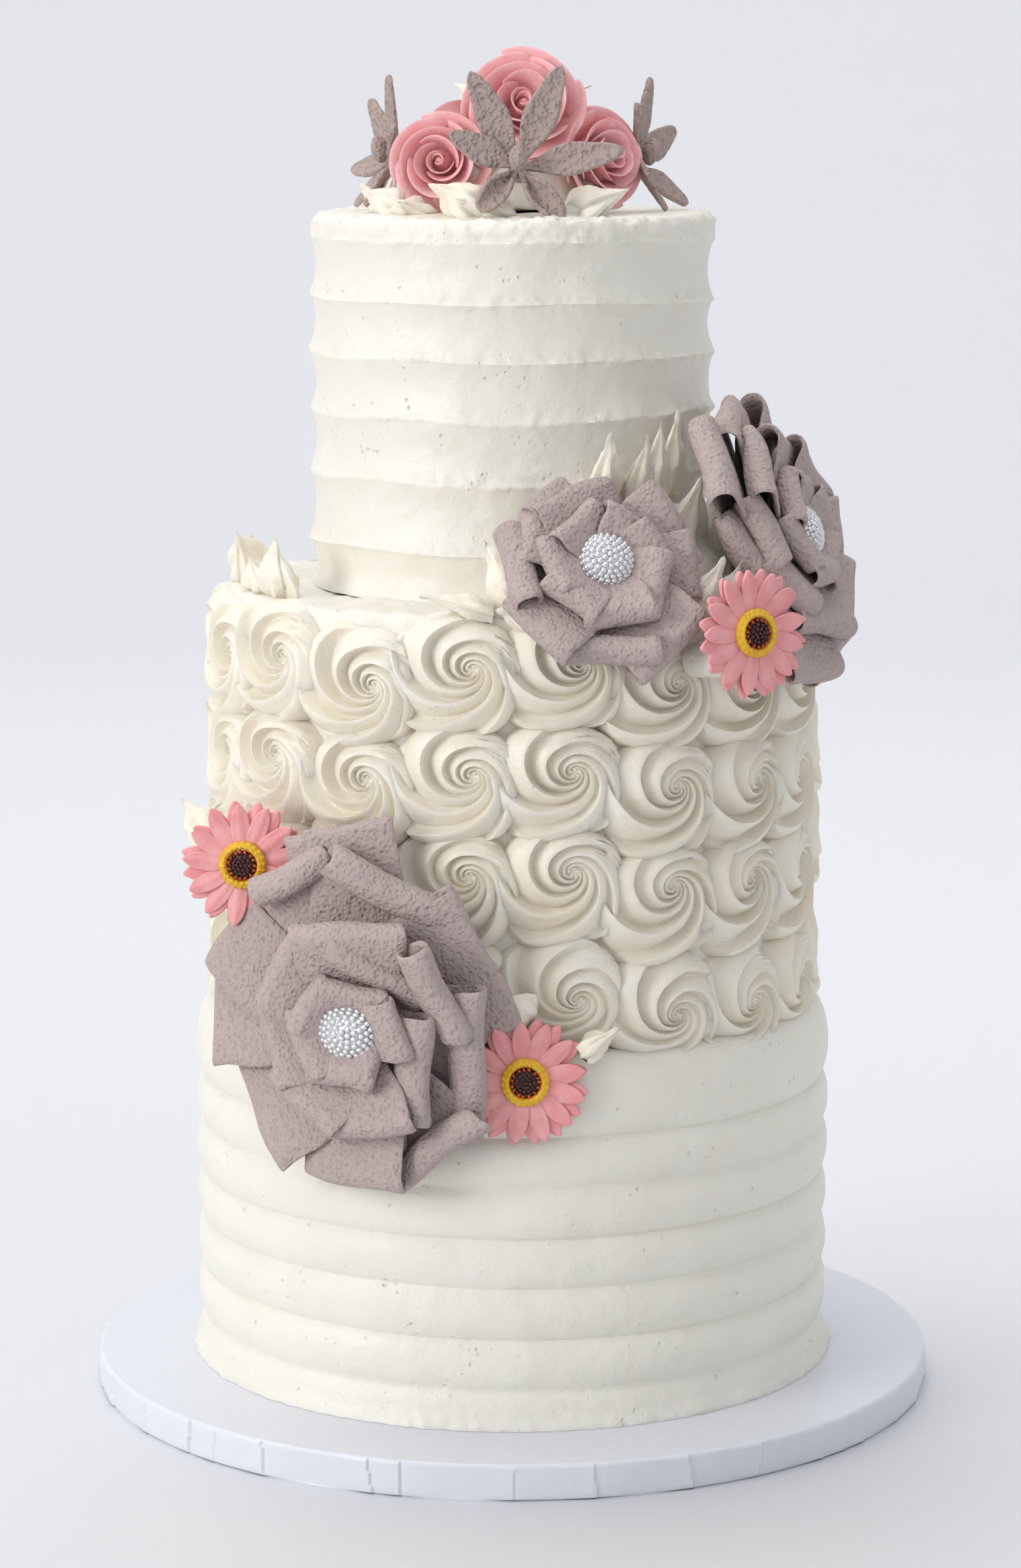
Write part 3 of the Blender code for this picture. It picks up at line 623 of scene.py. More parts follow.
# %% Coat the middle tier
def smeared_core():
    """The middle tier's own coat, and the ledge on top of it."""
    low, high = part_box("middle_tier")
    radius, foot, top = high.x, low.z, high.z
    line = [(0.0, foot), (0.6 * radius, foot)]
    line += [(radius, level) for level in np.linspace(foot, top - 2 * MM, 70)]
    line += [(radius - 0.6 * MM, top - 0.7 * MM), (radius - 2.2 * MM, top)]
    line += [(radius - step * 1.4 * MM, top) for step in range(3, 24)] + [(50 * MM, top), (0.0, top)]
    core = spun(line, 300)
    roughen(core, 0.014, 3.2 * MM)
    roughen(core, 0.005, 1.4 * MM)
    settle(core, "smeared_middle_tier", ["middle_tier"], ICING)


smeared_core()

# %% [markdown]
# ## The rosettes
# A piped rosette is one rope of icing from a star nozzle, coiled from its heart outwards. The rope's
# sharp edges turn into long crests that spiral into the heart, each with a steep drop on its inner side.
# It could be swept along a spiral, but the crests would then have to meet their neighbours by luck.
# Instead a circle is extruded inwards ring by ring, a little smaller and a little turned each time, so
# its lines already follow the crests. The flat disc is then raised into shape, and each of its copies is
# varied.

# %% Draw the flat disc once
CRESTS, STRANDS, RINGS = 5, 16, 34
HEART, TWIST, LIP = 0.08, 2.5, 0.78
DOME = ([0, 0.1, 0.3, 0.55, 0.8, 0.93, 1.0], [5.6, 6.4, 8.3, 9.3, 8.4, 6.0, -2.5])
GROOVE = ([0, 0.1, 0.3, 0.6, 0.95, 1.0], [0.0, 1.5, 3.1, 4.9, 4.4, 1.2])


def flat_disc():
    """Rings that shrink and turn towards the heart, closed behind and in the middle."""
    bpy.ops.object.select_all(action="DESELECT")
    bpy.ops.mesh.primitive_circle_add(vertices=CRESTS * STRANDS, radius=1.0)
    disc = bpy.context.object
    shrink = HEART ** (1.0 / RINGS)
    turn = TWIST * math.log(HEART) / RINGS
    bpy.ops.object.mode_set(mode="EDIT")
    bpy.ops.mesh.select_all(action="SELECT")
    for _ in range(RINGS):
        bpy.ops.mesh.extrude_region_move()
        bpy.ops.transform.resize(value=(shrink, shrink, 1.0))
        bpy.ops.transform.rotate(value=turn, orient_axis="Z", center_override=(0.0, 0.0, 0.0))
    bpy.ops.mesh.merge(type="CENTER")
    bpy.ops.mesh.select_all(action="DESELECT")
    bpy.ops.mesh.select_non_manifold()
    bpy.ops.mesh.extrude_region_move()
    bpy.ops.mesh.merge(type="CENTER")
    bpy.ops.transform.translate(value=(0.0, 0.0, -1.0))
    bpy.ops.mesh.select_all(action="SELECT")
    bpy.ops.mesh.normals_make_consistent(inside=False)
    bpy.ops.object.mode_set(mode="OBJECT")
    return disc


disc = flat_disc()
print("one rosette has", len(disc.data.polygons), "faces")


# %% Raise a disc into a swirl
def swirl_points(flat, half, heart, spin, dice):
    """Millimetre points of one swirl: x to the right, y up, z out of the cake."""
    reach = np.hypot(flat[:, 0], flat[:, 1])
    angle = np.arctan2(flat[:, 1], flat[:, 0])
    coil = -TWIST * np.log(np.clip(reach, HEART, 1.0))
    strand = np.rint((angle - coil) * CRESTS * STRANDS / (2 * math.pi)).astype(int) % (CRESTS * STRANDS)
    which, share = strand // STRANDS, (strand % STRANDS) / STRANDS
    fall = np.clip(share / LIP, 0.0, 1.0)
    wall = np.clip((1.0 - share) / (1.0 - LIP), 0.0, 1.0)
    scoop = np.where(share < LIP, fall**1.3, wall**0.7)
    torn = np.exp(-(((np.mod(angle + spin - 0.8 + math.pi, 2 * math.pi) - math.pi) / 0.75) ** 2))
    torn = torn * np.clip((reach - 0.45) / 0.3, 0.0, 1.0)
    lean = 1.0 - 0.36 * np.cos(angle + spin - math.atan2(heart[1], heart[0]))
    depth = np.interp(reach, *GROOVE) * lean * (1.0 - 0.5 * torn)
    lift = np.array([dice.uniform(-0.8, 0.8) for _ in range(CRESTS)])[which]
    rise = np.interp(reach, *DOME) - depth * scoop + lift * (1.0 - scoop) * np.clip(reach * 2, 0, 1)
    crest = np.clip(1.0 - np.minimum(share, 1.0 - share) / 0.12, 0.0, 1.0)
    swell = reach * (1.0 - 0.06 * scoop * reach**3) - 0.025 * crest * reach
    angle = angle + spin
    shift = np.clip(1.0 - reach, 0.0, 1.0) ** 0.95
    corner = (np.abs(np.cos(angle)) ** 2.5 + np.abs(np.sin(angle)) ** 2.5) ** -0.4
    swell = swell * (1.0 + (corner - 1.0) * reach**2)
    across = half[0] * swell * np.cos(angle) + heart[0] * shift
    up = half[1] * swell * np.sin(angle) + heart[1] * shift
    rise = rise - 0.9 * across / half[0] - 0.9 * up / half[1]
    rise = np.where(flat[:, 2] < -0.5, -9.0, rise)
    return across, up, rise, torn


# %% Pipe the four rows
COLUMNS, FIRST_COLUMN, CORE = 18, 8.6, 102.2 * MM
ROW_LEVELS = (273.0, 235.5, 199.0, 162.0)
ROW_DROOP = {-3: -1, -2: -5, -1: 0, 0: 1, 1: -7, 2: -9, 3: -9}
HEARTS = [(8.5, 1.5), (7.0, 5.0), (6.0, 6.0), (6.0, -1.5)]
SQUASH = 0.8375


def rosette_row(number):
    """One row of swirls round the middle tier, each a little different."""
    low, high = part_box(f"rosette_row_{number}")
    print(f"row {number} fills the cake from {low.z / MM:.0f} to {high.z / MM:.0f} mm")
    dice = random.Random(40 + number)
    flat = points_of(disc)
    swirls = []
    for column in range(COLUMNS):
        activate(disc)
        bpy.ops.object.duplicate()
        swirl = bpy.context.object
        side = (column + 9) % COLUMNS - 9
        half = (dice.uniform(23.4, 24.6), dice.uniform(21.8, 23.0))
        heart = [value + dice.uniform(-1.6, 1.6) for value in HEARTS[number - 1]]
        spin = dice.uniform(-0.5, 0.5)
        across, up, rise, torn = swirl_points(flat, half, heart, spin, dice)
        spots = zip(across / 2.6, up / 2.6)
        rough = np.array([noise.noise(Vector((*spot, 7.0 * column + number))) for spot in spots])
        rise = rise + torn * (2.6 * np.abs(rough) - 1.0)
        centre_up = ROW_LEVELS[number - 1] + ROW_DROOP.get(side, dice.uniform(-5, 1))
        centre_up += dice.uniform(-0.7, 0.7)
        azimuth = math.radians(FIRST_COLUMN + 360.0 / COLUMNS * column + dice.uniform(-0.6, 0.6))
        azimuth = azimuth + across * MM / CORE
        height = centre_up + (np.where(up < 0, SQUASH * up, up) if number == 4 else up)
        set_points(swirl, from_round(azimuth, CORE + (rise - 0.4) * MM, height * MM))
        swirls.append(swirl)
    row = join(swirls, f"rosettes_{number}")
    roughen(row, 0.0060, 0.75 * MM)
    roughen(row, 0.0022, 0.25 * MM)
    settle(row, f"piped_rosettes_{number}", [f"rosette_row_{number}"], PIPED, 38.0)


for number in (1, 2, 3, 4):
    rosette_row(number)
bpy.data.objects.remove(disc)

# %% [markdown]
# ## Flowers of folded strips
# Each big flower is made of strips of grey-brown gum paste. A strip is folded back on itself, so its
# outer edge is a soft roll with an open loop at each end, and its inner ends are pinched together at the
# hub. The layers lie on each other like roof tiles, with one end of every roll tucked under the next. A
# grid is bent into the fold, given its thickness by Solidify, and rounded by one level of subdivision.

# %% Fold one strip
STRIP_GRID = (28, 9)
PASTE, ROLLED = 1.7, 9.5


def fold_section(share, reach, loop, hub):
    """A soft fold: out along the lower leaf, round the fold, and back along the upper leaf."""
    radius = 0.5 * loop
    middle = reach - radius
    lean = math.asin(min(0.85, radius / max(middle - hub, radius * 1.2)))
    arc = np.clip((share - 0.34) / 0.32, 0.0, 1.0)
    turn = -(0.5 * math.pi + lean) + arc * (math.pi + 2 * lean)
    fold_x, fold_z = middle + radius * np.cos(turn), radius * np.sin(turn)
    inner = np.where(share < 0.5, np.clip(share / 0.34, 0, 1), np.clip((1.0 - share) / 0.34, 0, 1))
    root = np.where(share < 0.5, -0.95, 0.95)
    bow = np.sin(math.pi * inner) * 0.07 * loop
    x = hub + (fold_x - hub) * inner
    z = root + (fold_z - root) * inner + np.where(share < 0.5, -bow, bow)
    return x, z, inner, arc


def rolled_section(share, reach, loop, hub):
    """A rolled end: out along one leaf, then round and back down until the strip meets itself."""
    radius = 0.5 * loop
    middle = reach - radius
    arc = np.clip((share - 0.30) / 0.70, 0.0, 1.0)
    turn = -0.5 * math.pi + arc * math.radians(285.0)
    tight = radius * (1.0 - 0.22 * arc**2)
    inner = np.clip(share / 0.30, 0, 1)
    x = np.where(arc > 0, middle + tight * np.cos(turn), hub + (middle - hub) * inner)
    z = np.where(arc > 0, tight * np.sin(turn), -radius * inner**0.8)
    return x, z, inner, arc


def strip_points(reach, width, loop, hub, dice):
    """Millimetre points of a folded strip: x outwards from the hub, y along the fold, z up."""
    share, side = grid_shares(STRIP_GRID)
    section = rolled_section if loop >= ROLLED else fold_section
    x, z, inner, arc = section(share, reach, loop, hub)
    narrow = 0.42 + 0.58 * np.clip(x / (0.62 * reach), 0, 1) ** 0.8
    flare = 1.0 + 0.05 * np.sin(math.pi * arc) * np.where(side > 0, 1.0, 0.4)
    ragged = 1.0 + 0.02 * np.sin(9.0 * share + dice.uniform(0, 6.3))
    ragged = ragged + 0.012 * np.sin(23.0 * share + dice.uniform(0, 6))
    y = 0.5 * width * side * narrow * flare * ragged
    pinch = dice.uniform(0.75, 1.15) if dice.random() < 0.7 else 0.6
    squeeze = 1.0 + (pinch - 1.0) * np.clip(-side, 0, 1)
    z = z * np.where(arc * (1 - arc) > 0, squeeze, 1.0) + 0.5 * np.sin(0.21 * y + dice.uniform(0, 6)) * inner
    x = x + 0.7 * np.sin(0.17 * y + dice.uniform(0, 6)) * inner
    return np.stack([x, y, z], axis=1)


def lay_strip(points, direction, skew, slope, roll, lift):
    """Turn a strip about its fold, raise it, and point it in its direction."""
    reach = points[:, 0].max()
    move = Matrix.Rotation(math.radians(direction), 4, "Z") @ Matrix.Translation((0, 0, lift))
    move = move @ Matrix.Rotation(math.radians(-slope), 4, "Y") @ Matrix.Translation((0.8 * reach, 0, 0))
    move = move @ Matrix.Rotation(math.radians(skew), 4, "Z") @ Matrix.Rotation(math.radians(roll), 4, "X")
    move = move @ Matrix.Translation((-0.8 * reach, 0, 0))
    return points @ np.array(move.to_3x3()).T + np.array(move.translation)


# %% Make a layer of strips
def strip_layer(name, node, petals, lift, slope, hub, put, seed):
    """Petals lists (direction, reach, width, loop, skew); put carries flower points to the cake."""
    dice = random.Random(seed)
    strips = []
    for direction, reach, width, loop, skew in petals:
        points = strip_points(reach, width, loop, hub, dice)
        roll = 11.0 + dice.uniform(-2.0, 2.0) + (2.0 if loop >= ROLLED else 0.0)
        points = lay_strip(points, direction, skew, slope + dice.uniform(-1.5, 1.5), roll, lift)
        strips.append(shaped_grid(STRIP_GRID, put(points)))
    layer = join(strips, name)
    thicken(layer, PASTE)
    roughen(layer, 0.0045, 0.5 * MM)
    face_outwards(layer, merge=True)
    settle(layer, name, [node], TAUPE, 60.0)


def facing_frame(azimuth, radius, height, facing, tilt):
    """Carries flower points (millimetres) to a place on the cake where the flower looks outwards."""
    spot, look = math.radians(azimuth), math.radians(facing)
    centre = Vector((radius * math.sin(spot), -radius * math.cos(spot), height))
    turn = Matrix.Rotation(look, 3, "Z") @ Matrix.Rotation(math.radians(90.0 - tilt), 3, "X")

    def put(points):
        return points @ np.array(turn).T + np.array(centre)

    return put


def facing_from(place, facing, tilt):
    """The same for a place given as x, y and z."""
    spot = math.degrees(math.atan2(place[0], -place[1]))
    return facing_frame(spot, math.hypot(place[0], place[1]), place[2], facing, tilt)


def draped(azimuth, radius, height, lean):
    """Carries flower points to the cake's round side; lean shifts raised points sideways."""

    def put(points):
        angle = math.radians(azimuth) + (points[:, 0] + lean * points[:, 2]) / radius
        return from_round(angle, radius + points[:, 2], height + points[:, 1])

    return put


# %% Drape the big flower on the left
LEFT_PUT = draped(-27.7, 118.5, 156.0, 0.41)
LEFT_BEHIND = [(140, 60, 24, 5, 0), (103, 65, 22, 4, 0), (88, 67, 34, 4, 12), (27, 54, 57, 4, 2)]
LEFT_OUTER = [(184, 57, 36, 7, 0), (229, 53, 40, 8, -14), (272, 56, 35, 9, -6), (-57, 55, 38, 10, 10)]
LEFT_OUTER += [(-18, 47, 54, 12, 20), (154, 57, 33, 9, -12), (113, 58, 32, 10, 2), (71, 54, 52, 12, -9)]
LEFT_MIDDLE = [(138, 34, 32, 7, 10), (199, 31, 30, 6, -2), (242, 35, 29, 7, -14), (281, 38, 28, 8, 1)]
LEFT_MIDDLE += [(90, 38, 36, 9, 2), (-31, 31, 38, 11, 27), (29, 37, 36, 10, -8), (66, 28, 38, 9.5, -13)]
LEFT_INNER = [(143, 20, 23, 6, 3), (201, 20, 24, 6, 0), (260, 21, 21, 7, 2), (84, 19, 22, 7, -10)]
LEFT_INNER += [(-54, 16.5, 21, 7.5, 42), (9, 20, 21, 8, 3)]
strip_layer("left_flower_behind", "flower_left_outer_petals", LEFT_BEHIND, -0.5, 3.0, 6.0, LEFT_PUT, 104)
strip_layer("left_flower_outer", "flower_left_outer_petals", LEFT_OUTER, 2.5, 8.0, 6.0, LEFT_PUT, 101)
strip_layer("left_flower_middle", "flower_left_middle_petals", LEFT_MIDDLE, 7.5, 19.0, 5.0, LEFT_PUT, 102)
strip_layer("left_flower_inner", "flower_left_inner_petals", LEFT_INNER, 12.5, 34.0, 3.0, LEFT_PUT, 103)

# %% Lean the front flower on the ledge
FRONT_PUT = facing_frame(17.0, 99.0, 306.5, 14.0, 30.0)
FRONT_OUTER = [(123, 33, 20, 6, 0), (107, 30, 32, 8, 3), (156, 31, 22, 8, 6)]
FRONT_OUTER += [(222, 37, 30, 7, -8), (29, 33, 32, 8, 0), (302, 39, 33, 8, 4)]
FRONT_OUTER += [(-2, 33, 24, 8, 6), (267, 36, 33, 9.5, -5), (178, 34, 31, 10, 5)]
FRONT_INNER = [(123, 20, 22, 6, 4), (186, 22, 22, 6, 0), (225, 24, 22, 6.5, -4), (-86, 25, 25, 7, 0)]
FRONT_INNER += [(-32, 23, 23, 7, 6), (20, 21, 16, 7, 6), (60, 20, 17, 6.5, 0)]
strip_layer("front_flower_outer", "flower_front_outer_petals", FRONT_OUTER, 1.5, 11.0, 5.0, FRONT_PUT, 111)
strip_layer("front_flower_inner", "flower_front_inner_petals", FRONT_INNER, 6.5, 20.0, 3.5, FRONT_PUT, 112)

# %% Turn the right flower to the cake's side
RIGHT_PUT = facing_frame(58.0, 97.0, 310.0, 69.0, 20.0)
SKEWS, TURNS = (8, -6, 14), (0, 1, 2, 3, 6, 7, 8)
RIGHT_OUTER = [(15 + 40 * turn, 52 - 1.5 * (turn % 3), 35, 9, SKEWS[turn % 3]) for turn in TURNS]
RIGHT_OUTER += [(176, 35, 26, 9, 8), (214, 36, 26, 9, -4)]
RIGHT_MIDDLE = [(35 + 45 * turn, 39 - (turn % 2), 31, 8.5, (10, -8)[turn % 2]) for turn in (0, 1, 2, 5, 6, 7)]
RIGHT_MIDDLE += [(170, 32, 26, 9, 10), (215, 32, 26, 9, -4)]
RIGHT_INNER = [(10 + 60 * turn, 23 - (turn % 2), 22, 7, (12, 0)[turn % 2]) for turn in range(6)]
strip_layer("right_flower_outer", "flower_right_outer_petals", RIGHT_OUTER, 1.8, 10.0, 6.0, RIGHT_PUT, 121)
strip_layer("right_flower_middle", "flower_right_middle_petals", RIGHT_MIDDLE, 7.4, 19.0, 5.0, RIGHT_PUT, 122)
strip_layer("right_flower_inner", "flower_right_inner_petals", RIGHT_INNER, 13.3, 32.0, 3.5, RIGHT_PUT, 123)

# %% [markdown]
# ## Beaded buttons
# A small dome in the middle of each flower is covered with rings of tiny silver beads. One bead is an
# icosphere of a few dozen faces, and its copies sit in rings on a spun dome. They could be scattered, but
# rings pack as closely as the pressed beads of a real button do.


# %% Set the beads
BEAD, BEAD_GAP = 1.12, 2.15
BUTTON_RADIUS, BUTTON_RISE = 8.8, 5.2


def small_ball(radius, detail=2):
    """A bead at the origin."""
    bpy.ops.object.select_all(action="DESELECT")
    bpy.ops.mesh.primitive_ico_sphere_add(subdivisions=detail, radius=radius)
    return bpy.context.object


def copies_at(piece, places):
    """Copies of a piece at each place in the flower's plane, instead of the piece itself."""
    made = []
    model = points_of(piece)
    for place in places:
        activate(piece)
        bpy.ops.object.duplicate()
        copy = bpy.context.object
        set_points(copy, model + np.array(place))
        made.append(copy)
    bpy.data.objects.remove(piece)
    return made


def ring_places(reach, count, level, start=0.0, stray=0.0, dice=None):
    """Places evenly round a ring; with dice, each one strays a little."""
    places = []
    for number in range(count):
        shift = dice.uniform(-stray, stray) if dice else start
        turn = 2 * math.pi * (number + shift) / count
        places.append((reach * math.cos(turn), reach * math.sin(turn), level))
    return places


def dome_under(radius, rise, foot):
    """A low dome that carries beads, in millimetres."""
    line = [(0.0, foot), (radius, foot), (radius, foot + 0.6)]
    line += [(radius * math.cos(t), foot + 0.6 + rise * math.sin(t)) for t in (0.3, 0.6, 0.9, 1.2)]
    return spun(line + [(0.0, foot + 0.6 + rise)], 32)


def beaded_button(name, node, put, foot):
    """A silver button of a little over a hundred beads."""
    places = [(0.0, 0.0, foot + 0.6 + BUTTON_RISE)]
    for ring in range(1, 7):
        angle = math.radians(90.0 - ring * 14.0)
        reach, level = BUTTON_RADIUS * math.cos(angle), foot + 0.6 + BUTTON_RISE * math.sin(angle)
        count = max(6, int(2 * math.pi * reach / BEAD_GAP))
        places += ring_places(reach, count, level, 0.5 * (ring % 2))
    beads = copies_at(small_ball(BEAD), places)
    button = join([dome_under(BUTTON_RADIUS, BUTTON_RISE, foot)] + beads, name)
    carry(button, put)
    settle(button, name, [node], SILVER, 60.0)


beaded_button("left_flower_button", "flower_left_button", LEFT_PUT, 20.0)
beaded_button("front_flower_button", "flower_front_button", FRONT_PUT, 11.5)
beaded_button("right_flower_button", "flower_right_button", RIGHT_PUT, 20.5)

# %% [markdown]
# ## Daisies
# A daisy has two layers of long round-tipped petals, cut from pink sugar paste with a faint groove along
# each. A collar of yellow beads stands in the middle, then a thin ring of orange crumbs, then a heap of
# dark seeds. Each petal is bent from a grid of its own, so that no two are quite alike.

# %% Finishes of the daisy's middle
YELLOW = Finish("yellow_beads", (0.80, 0.47, 0.02), 0.42)
YELLOW.tint(YELLOW.clouds(330.0), [(0.3, (0.74, 0.40, 0.012)), (0.7, (0.85, 0.53, 0.03))])
YELLOW.bump(YELLOW.clouds(1100.0), 0.0002)
YELLOW = YELLOW.material


def mottled(name, colour, roughness, scale, dark, pale):
    """Sugar crumbs of two mixed shades."""
    made = Finish(name, colour, roughness)
    made.tint(made.clouds(scale, 2.0), [(0.35, dark), (0.65, pale)])
    return made.material


AMBER = mottled("orange_ring", (0.55, 0.07, 0.01), 0.45, 600.0, (0.42, 0.035, 0.008), (0.72, 0.14, 0.01))
SEEDS = mottled("dark_seeds", (0.05, 0.012, 0.012), 0.35, 700.0, (0.025, 0.008, 0.008), (0.11, 0.03, 0.028))
print("yellow, orange and dark sugar ready")


# %% Shape a petal and set a daisy
DAISY_GRID, DAISY_REACH, DAISY_TIP = (12, 6), 5.0, 0.72


def daisy_petal(length, width, dice):
    """Millimetre points of a petal along x, with a groove and a turned-up tip."""
    share, side = grid_shares(DAISY_GRID)
    share = np.sin(0.5 * math.pi * share)
    outline = np.sin(math.pi * np.clip(share * 0.80 + 0.11, 0, 1)) ** 0.62
    tip = ((share - DAISY_TIP) / 0.285) ** 2 * (share > DAISY_TIP)
    outline *= np.sqrt(np.clip(1.0 - tip, 0, 1)) ** 0.9
    x = DAISY_REACH + (length - DAISY_REACH) * share
    y = 0.5 * width * side * np.clip(outline, 0.04, 1)
    z = 0.35 * np.cos(side * math.pi * 1.5) * outline + dice.uniform(0.0, 0.8) * share**2
    return np.stack([x, y, z], axis=1)


def daisy(name, node, azimuth, radius, height, facing, seed):
    """Petals, beaded collar, orange ring and seeds of one daisy."""
    dice = random.Random(seed)
    put = facing_frame(azimuth, radius, height, facing, 4.0)
    petals = []
    for reach, lift, count in ((22.0, 0.8, 16), (21.2, 2.3, 13)):
        for number in range(count):
            points = daisy_petal(reach + dice.uniform(-0.7, 0.5), dice.uniform(6.6, 7.4), dice)
            turn = 11.0 + 360.0 * number / count + dice.uniform(-2.0, 2.0)
            points = lay_strip(points, turn, 0.0, dice.uniform(0.0, 3.0), dice.uniform(3.0, 8.0), lift)
            petals.append(shaped_grid(DAISY_GRID, put(points)))
    petals = join(petals, name)
    thicken(petals, 1.35)
    face_outwards(petals, merge=True)
    settle(petals, name + "_petals", [node + "_petals"], DAISY, 60.0)
    rings = []
    for reach, size, count, level in ((7.2, 1.15, 22, 4.4), (6.3, 0.85, 20, 5.2)):
        rings += copies_at(small_ball(size), ring_places(reach, count, level, 0.25 * size))
    collar = spun([(5.2, 3.2), (8.1, 3.2), (8.3, 4.2), (7.6, 5.2), (6.4, 5.9), (5.4, 5.2), (5.2, 3.2)], 44)
    ring = join([collar] + rings, name + "_ring")
    carry(ring, put)
    settle(ring, name + "_ring", [node + "_ring"], YELLOW, 60.0)
    places = []
    for reach, count, level in ((5.5, 18, 4.9), (4.6, 15, 5.3)):
        places += ring_places(reach, count, level, stray=0.2, dice=dice)
    halo = join(copies_at(small_ball(0.62, 1), places), name + "_halo")
    carry(halo, put)
    settle(halo, name + "_halo", [node + "_ring"], AMBER, 60.0)
    places = []
    for reach, count, level in ((0.0, 1, 6.0), (1.5, 6, 5.9), (2.9, 11, 5.6), (4.1, 16, 5.1)):
        places += ring_places(reach, count, level, stray=0.15, dice=dice)
    seeds = join([dome_under(4.9, 1.4, 3.4)] + copies_at(small_ball(0.72, 1), places), name + "_seeds")
    carry(seeds, put)
    settle(seeds, name + "_seeds", [node + "_seeds"], SEEDS, 60.0)


daisy("daisy_by_upper_flowers", "daisy_upper", 37.4, 131.0, 288.0, 33.0, 201)
daisy("daisy_at_left_edge", "daisy_left", -46.2, 127.0, 206.0, -10.0, 202)
daisy("daisy_over_seam", "daisy_lower", 2.0, 116.2, 136.5, 3.0, 203)

# %% [markdown]
# ## Roses
# A sugar rose starts as a tight spiral bud, and wider and wider petals are wrapped round it, each with
# one side tucked under its neighbour and a thin rim that rolls outwards. Every petal here is a grid
# curved round the bud.


# %% Wrap a petal and a rose
ROSE_GRID = (10, 14)


def rose_petal(size, direction, spread, foot, rim, rise, curl, tuck, dice):
    """Millimetre points of one petal; foot and rim are radii, rise is its height."""
    share, side = grid_shares(ROSE_GRID)
    top = rise * (1.0 - 0.26 * np.abs(side) ** 2.4)
    wave = 0.03 * np.sin(3.0 * side + dice.uniform(0, 6))
    angle = math.radians(direction) + np.radians(spread) * side * (0.45 + 0.55 * share**0.6)
    cup = foot + (rim - foot) * (share**0.8) + curl * np.clip((share - 0.72) / 0.28, 0, 1) ** 2
    cup = cup + tuck * side + wave * share
    up = top * share - 0.45 * curl * np.clip((share - 0.84) / 0.16, 0, 1) ** 2 - 0.35 * (1 - share)
    return size * np.stack([cup * np.cos(angle), cup * np.sin(angle), up], axis=1)


def rose(name, node, place, facing, tilt, size, seed):
    """A spiral bud and ten petals, wider and wider."""
    dice = random.Random(seed)
    put = facing_from(place, facing, tilt)
    plan = [(0, 178, 0.03, 0.13, 1.02, 0.0, 0.06), (200, 165, 0.07, 0.26, 1.00, 0.02, 0.08)]
    plan += [(60 + 120 * turn, 84, 0.15, 0.48, 0.98, 0.05, 0.09) for turn in range(3)]
    plan += [(10 + 120 * turn, 78, 0.22, 0.77, 0.84, 0.09, 0.09) for turn in range(3)]
    plan += [(50 + 90 * turn, 64, 0.28, 1.04, 0.58, 0.12, 0.08) for turn in range(4)]
    petals = []
    for direction, spread, foot, rim, rise, curl, tuck in plan:
        direction += dice.uniform(-8, 8)
        rise *= dice.uniform(0.96, 1.03)
        points = rose_petal(size, direction, spread, foot, rim, rise, curl, tuck, dice)
        petals.append(shaped_grid(ROSE_GRID, put(points)))
    bloom = join(petals, name)
    thicken(bloom, 0.65)
    heart = [(0.22, -0.4), (0.45, -0.05), (0.5, 0.15), (0.15, 0.55), (0.06, 0.78), (0.0, 0.80)]
    heart = [(0.0, -9.0), (2.4, -9.0)] + [(reach * size, level * size) for reach, level in heart]
    heart = spun(heart, 24)
    carry(heart, put)
    bloom = join([bloom, heart], name)
    face_outwards(bloom, merge=True)
    settle(bloom, name, [node], ROSE, 60.0)


rose("rose_centre_bloom", "rose_centre", (4.0, -12.0, 459.0), 0.0, 20.0, 18.0, 301)
rose("rose_left_bloom", "rose_left", (-24.0, -18.0, 441.5), -8.0, 10.0, 15.0, 302)
rose("rose_right_bloom", "rose_right", (27.0, -12.0, 442.5), 42.0, 12.0, 15.5, 303)
rose("rose_back_left_bloom", "rose_back_left", (-19.0, 13.0, 446.0), -128.0, 20.0, 14.0, 304)
rose("rose_back_right_bloom", "rose_back_right", (15.0, 22.0, 447.0), 150.0, 22.0, 15.0, 305)

# %% [markdown]
# ## Pointed flowers
# The taupe flowers of the bouquet have thick spear-shaped petals with a raised rib, and a small bud
# between them. A grid makes the spear, Solidify gives its thickness, and its skin is stippled by the
# finish.


# %% Cut a spear and set a pointed flower
SPEAR_GRID = (18, 8)


def spear_points(length, width, curl, dice):
    """Millimetre points of a spear along x; curl rolls its sides together."""
    share, side = grid_shares(SPEAR_GRID)
    outline = 0.16 + 0.84 * np.sin(0.5 * math.pi * np.clip(share / 0.5, 0, 1)) ** 1.6
    outline *= np.where(share > 0.5, 1.0 - 0.66 * np.clip((share - 0.5) / 0.5, 0, 1) ** 1.15, 1.0)
    outline *= np.sqrt(np.clip((1.0 - share) / 0.07, 0.0, 1.0))
    half = 0.5 * width * np.clip(outline, 0.02, 2)
    bend = curl * (1.25 - 0.9 * share) * 0.5 * math.pi
    if curl > 0:
        y = half * np.sin(bend * side) / bend
        z = half * (1.0 - np.cos(bend * side)) / bend
    else:
        y, z = half * side, 0.10 * width * np.abs(side) * outline
    z = z + 0.35 * np.exp(-((side / 0.18) ** 2)) * outline
    z = z + 0.06 * length * share**2 * dice.uniform(-0.6, 0.8)
    x = 1.0 + (length - 1.0) * share
    return np.stack([x, y, z], axis=1)


